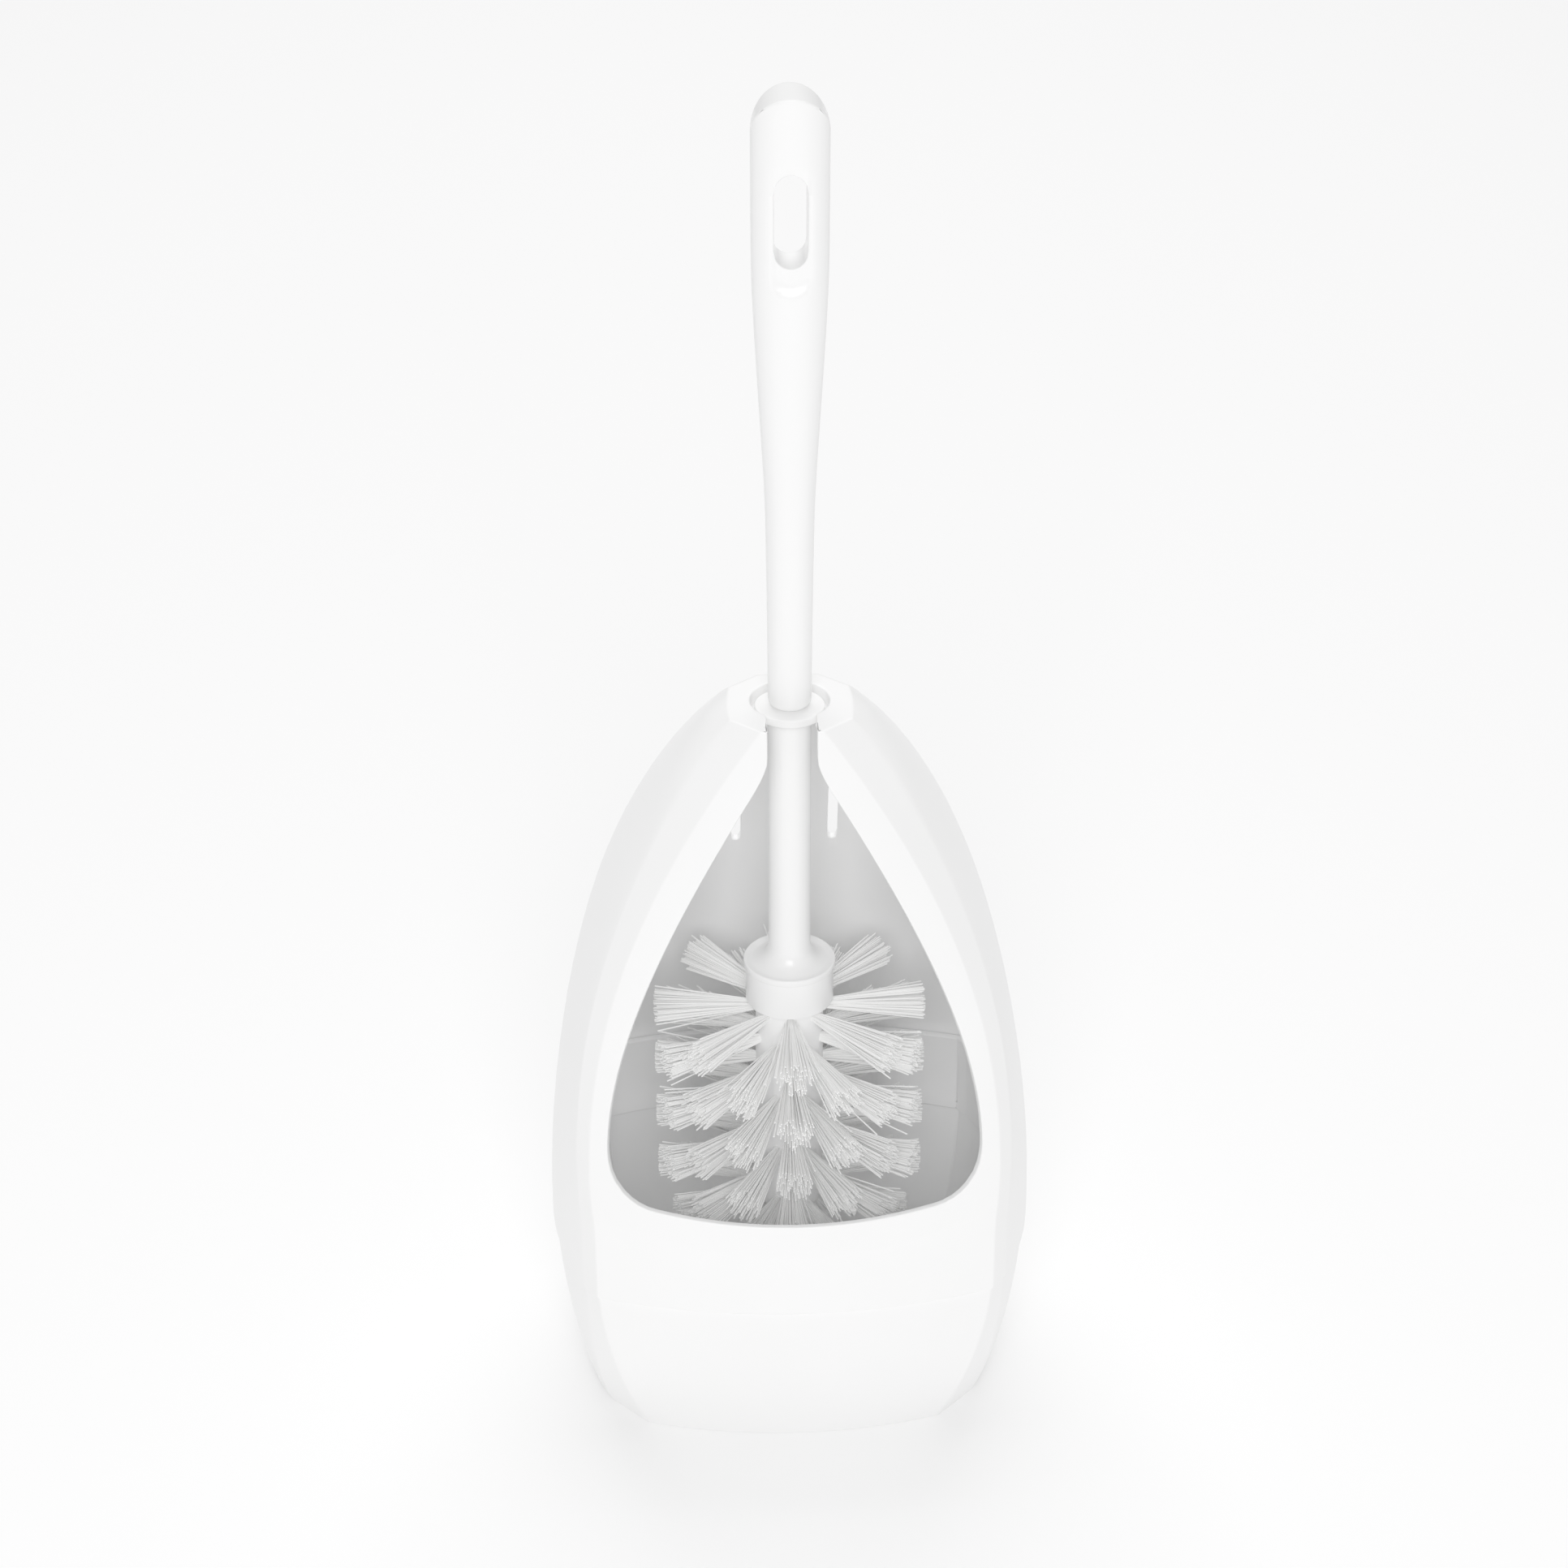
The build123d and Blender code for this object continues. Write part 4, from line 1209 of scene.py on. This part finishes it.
def bristle_tree():
    """The node tree: sizes are named inputs, in metres."""
    tree = bpy.data.node_groups.new("fan_of_filaments", "GeometryNodeTree")
    face = tree.interface
    face.new_socket("Geometry", in_out="OUTPUT", socket_type="NodeSocketGeometry")
    face.new_socket("Geometry", in_out="INPUT", socket_type="NodeSocketGeometry")
    for name, kind in (("Filaments", "NodeSocketInt"), ("Root Spread", "NodeSocketFloat"),
                       ("Tip Spread", "NodeSocketFloat"), ("Thickness", "NodeSocketFloat"),
                       ("Ragged", "NodeSocketFloat"), ("Stray", "NodeSocketFloat"),
                       ("Seed", "NodeSocketInt"), ("Material", "NodeSocketMaterial")):
        face.new_socket(name, in_out="INPUT", socket_type=kind)
    new, link = tree.nodes.new, tree.links.new
    given = new("NodeGroupInput")

    def math_node(operation, a, b=None):
        """A sum of two sockets or numbers."""
        node = new("ShaderNodeMath")
        node.operation = operation
        for socket, value in zip(node.inputs, (a, b)):
            if isinstance(value, (int, float)):
                socket.default_value = value
            elif value is not None:
                link(value, socket)
        return node.outputs[0]

    def vector_node(operation, a, b=None, scale=None):
        """A vector step. Its scale is a socket or a number."""
        node = new("ShaderNodeVectorMath")
        node.operation = operation
        for socket, value in ((node.inputs[0], a), (node.inputs[1], b)):
            if isinstance(value, tuple):
                socket.default_value = value
            elif value is not None:
                link(value, socket)
        if isinstance(scale, float):
            node.inputs["Scale"].default_value = scale
        elif scale is not None:
            link(scale, node.inputs["Scale"])
        return node.outputs["Value"] if operation == "LENGTH" else node.outputs["Vector"]

    def random(low, high, offset):
        """A random number for each filament."""
        node = new("FunctionNodeRandomValue")
        node.data_type = "FLOAT"
        node.inputs[2].default_value, node.inputs[3].default_value = low, high
        link(math_node("ADD", given.outputs["Seed"], offset), node.inputs["Seed"])
        return node.outputs[1]

    def attribute(name, kind):
        """A value that each tuft brings with it."""
        node = new("GeometryNodeInputNamedAttribute")
        node.data_type = kind
        node.inputs["Name"].default_value = name
        return node.outputs[0]

    points = new("GeometryNodeMeshToPoints")
    link(given.outputs["Geometry"], points.inputs["Mesh"])
    copies = new("GeometryNodeDuplicateElements")
    copies.domain = "POINT"
    link(points.outputs["Points"], copies.inputs["Geometry"])
    link(given.outputs["Filaments"], copies.inputs["Amount"])

    out, reach = attribute("out", "FLOAT_VECTOR"), attribute("reach", "FLOAT")
    across = vector_node("NORMALIZE", vector_node("CROSS_PRODUCT", out, (0.0, 0.0, 1.0)))
    upright = vector_node("CROSS_PRODUCT", across, out)
    turn = random(0.0, 2 * math.pi, 1)
    spread = math_node("SQRT", random(0.0, 1.0, 2))

    def fan(size, turn_value, reach_value):
        """A place in the tuft's round cross-section, some way out along the tuft."""
        wide = math_node("MULTIPLY", math_node("COSINE", turn_value), size)
        high = math_node("MULTIPLY", math_node("SINE", turn_value), size)
        flat = vector_node("ADD", vector_node("SCALE", across, scale=wide),
                           vector_node("SCALE", upright, scale=high))
        if reach_value is None:
            return flat
        return vector_node("ADD", flat, vector_node("SCALE", out, scale=reach_value))

    root = fan(math_node("MULTIPLY", spread, given.outputs["Root Spread"]), turn, None)
    tip_turn = math_node("ADD", turn, random(-TIP_TURN, TIP_TURN, 3))
    rarely = math_node("POWER", random(0.0, 1.0, 4), 12.0)
    stray = math_node("MULTIPLY", given.outputs["Stray"], rarely)
    tip_size = math_node("MULTIPLY", spread, math_node("ADD", given.outputs["Tip Spread"], stray))
    often = math_node("POWER", random(0.0, 1.0, 5), 2.0)
    short = math_node("MULTIPLY", given.outputs["Ragged"], often)
    bulge = math_node("DIVIDE", math_node("MULTIPLY", tip_size, tip_size), TRIM_ROUND)
    length = math_node("SUBTRACT", math_node("SUBTRACT", reach, short), bulge)
    tip = fan(tip_size, tip_turn, length)
    along = vector_node("SUBTRACT", tip, root)

    shift = new("GeometryNodeSetPosition")
    link(copies.outputs["Geometry"], shift.inputs["Geometry"])
    halfway = vector_node("ADD", root, vector_node("SCALE", along, scale=0.5))
    link(halfway, shift.inputs["Offset"])
    prism = new("GeometryNodeMeshCylinder")
    prism.fill_type = "NGON"
    prism.inputs["Vertices"].default_value = FILAMENT_SIDES
    prism.inputs["Radius"].default_value = 0.5
    prism.inputs["Depth"].default_value = 1.0
    align = new("FunctionNodeAlignRotationToVector")
    align.axis = "Z"
    link(along, align.inputs["Vector"])
    size = new("ShaderNodeCombineXYZ")
    link(given.outputs["Thickness"], size.inputs["X"])
    link(given.outputs["Thickness"], size.inputs["Y"])
    link(vector_node("LENGTH", along), size.inputs["Z"])
    place = new("GeometryNodeInstanceOnPoints")
    link(shift.outputs["Geometry"], place.inputs["Points"])
    link(prism.outputs["Mesh"], place.inputs["Instance"])
    link(align.outputs["Rotation"], place.inputs["Rotation"])
    link(size.outputs["Vector"], place.inputs["Scale"])
    real = new("GeometryNodeRealizeInstances")
    link(place.outputs["Instances"], real.inputs["Geometry"])
    paint = new("GeometryNodeSetMaterial")
    link(real.outputs["Geometry"], paint.inputs["Geometry"])
    link(given.outputs["Material"], paint.inputs["Material"])
    result = new("NodeGroupOutput")
    link(paint.outputs["Geometry"], result.inputs["Geometry"])
    return tree


fan_tree = bristle_tree()
print("bristle tree has", len(fan_tree.nodes), "nodes")

# %% [markdown]
# Each row of tufts is a separate piece. Its seed is its row number, so the rows differ, and every run
# gives the same brush.

# %% Growing a row
ROOT_SPREAD, TIP_SPREAD, THICKNESS, RAGGED, STRAY = 1.05, 5.4, 0.42, 1.3, 3.5
depsgraph_of = bpy.context.evaluated_depsgraph_get


def row_reach(level):
    """How far a row's tips stand from the axis. The lowest rows follow the head's rounded end."""
    drop = max(0.0, END_ROUND_HEIGHT - level)
    return BRISTLE_RADIUS - END_ROUND + sqrt(END_ROUND ** 2 - min(drop, END_ROUND - 2) ** 2)


def bristles(name, tufts, replaced, seed, filaments=95, tip_spread=TIP_SPREAD):
    """Grow filaments from tufts, each given as a root point, an outward direction and a length."""
    mesh = bpy.data.meshes.new(name + "_tufts")
    mesh.from_pydata([root * MM for root, _, _ in tufts], [], [])
    mesh.attributes.new("out", "FLOAT_VECTOR", "POINT")
    mesh.attributes.new("reach", "FLOAT", "POINT")
    for i, (_, direction, length) in enumerate(tufts):
        mesh.attributes["out"].data[i].vector = direction
        mesh.attributes["reach"].data[i].value = length * MM
    sower = bpy.data.objects.new(name + "_tufts", mesh)
    scene.collection.objects.link(sower)
    grow = sower.modifiers.new("fan", "NODES")
    grow.node_group = fan_tree
    values = {"Filaments": filaments, "Root Spread": ROOT_SPREAD * MM,
              "Tip Spread": tip_spread * MM, "Thickness": THICKNESS * MM,
              "Ragged": RAGGED * MM, "Stray": STRAY * MM, "Seed": seed, "Material": fibre}
    for item in fan_tree.interface.items_tree:
        if item.in_out == "INPUT" and item.name in values:
            grow[item.identifier] = values[item.name]
    grown = bpy.data.meshes.new_from_object(sower.evaluated_get(depsgraph_of()))
    bpy.data.objects.remove(sower)
    grown.name = name
    piece = add_object(name, grown, fibre, smooth=False)
    settle(piece, "head", "bristle_fibre", replaced)


print("a filament is", THICKNESS, "mm thick")

# %% [markdown]
# Every second row is turned by half a step, so a tuft always stands over a gap. The bundles near the
# rounded end are shorter, so they fan out less.

# %% Rows of tufts
BRISTLE_RADIUS, CORE_RADIUS, ROW_PITCH, FIRST_ROW = 40.3, 10.0, 9.4, 129.4
ROWS, TUFTS = 8, 8
ROOT_START = 7.4
END_ROUND, END_ROUND_HEIGHT, CORE_FOOT = 30.0, 77.0, 58.0

for row in range(ROWS):
    level = FIRST_ROW - row * ROW_PITCH
    root_height = Vector((0, 0, level))
    tufts = []
    for i in range(TUFTS):
        angle = radians(-90 + (row % 2) * 180 / TUFTS + i * 360 / TUFTS)
        direction = Vector((cos(angle), sin(angle), 0))
        tufts.append((direction * ROOT_START + root_height, direction, row_reach(level) - ROOT_START))
    wide = TIP_SPREAD * (row_reach(level) - CORE_RADIUS) / (BRISTLE_RADIUS - CORE_RADIUS)
    bristles(f"bristle_fans_{row + 1}", tufts, f"bristle_row_{row + 1}", row + 1, tip_spread=wide)

# %% [markdown]
# Six short tufts close the rounded end, leaning down and out. The core they all stand in is a drilled
# bar, and the working model already has every hole in it, so its own shape is kept and only dressed.

# %% End tufts and core
END_TUFTS, END_LEAN, END_LENGTH, END_SEED = 6, 32, 11.0, 20
END_RING, END_RISE, END_SUNK = 4.6, 4, 2      # ring of the holes, its height, depth of the roots

lean = radians(END_LEAN)
end_tufts = []
for i in range(END_TUFTS):
    angle = radians(-60 + i * 360 // END_TUFTS)
    outwards = Vector((cos(angle), sin(angle), 0))
    direction = outwards * sin(lean) - Vector((0, 0, cos(lean)))
    start = outwards * END_RING + Vector((0, 0, CORE_FOOT + END_RISE))
    end_tufts.append((start + direction * END_SUNK, direction, END_LENGTH))
bristles("bristle_fans_end", end_tufts, "bristle_end_tufts", END_SEED, filaments=60, tip_spread=2.6)

dress("brush_core", plastics["head"])
print("core dressed, with", ROWS * TUFTS + END_TUFTS, "tufts round it")
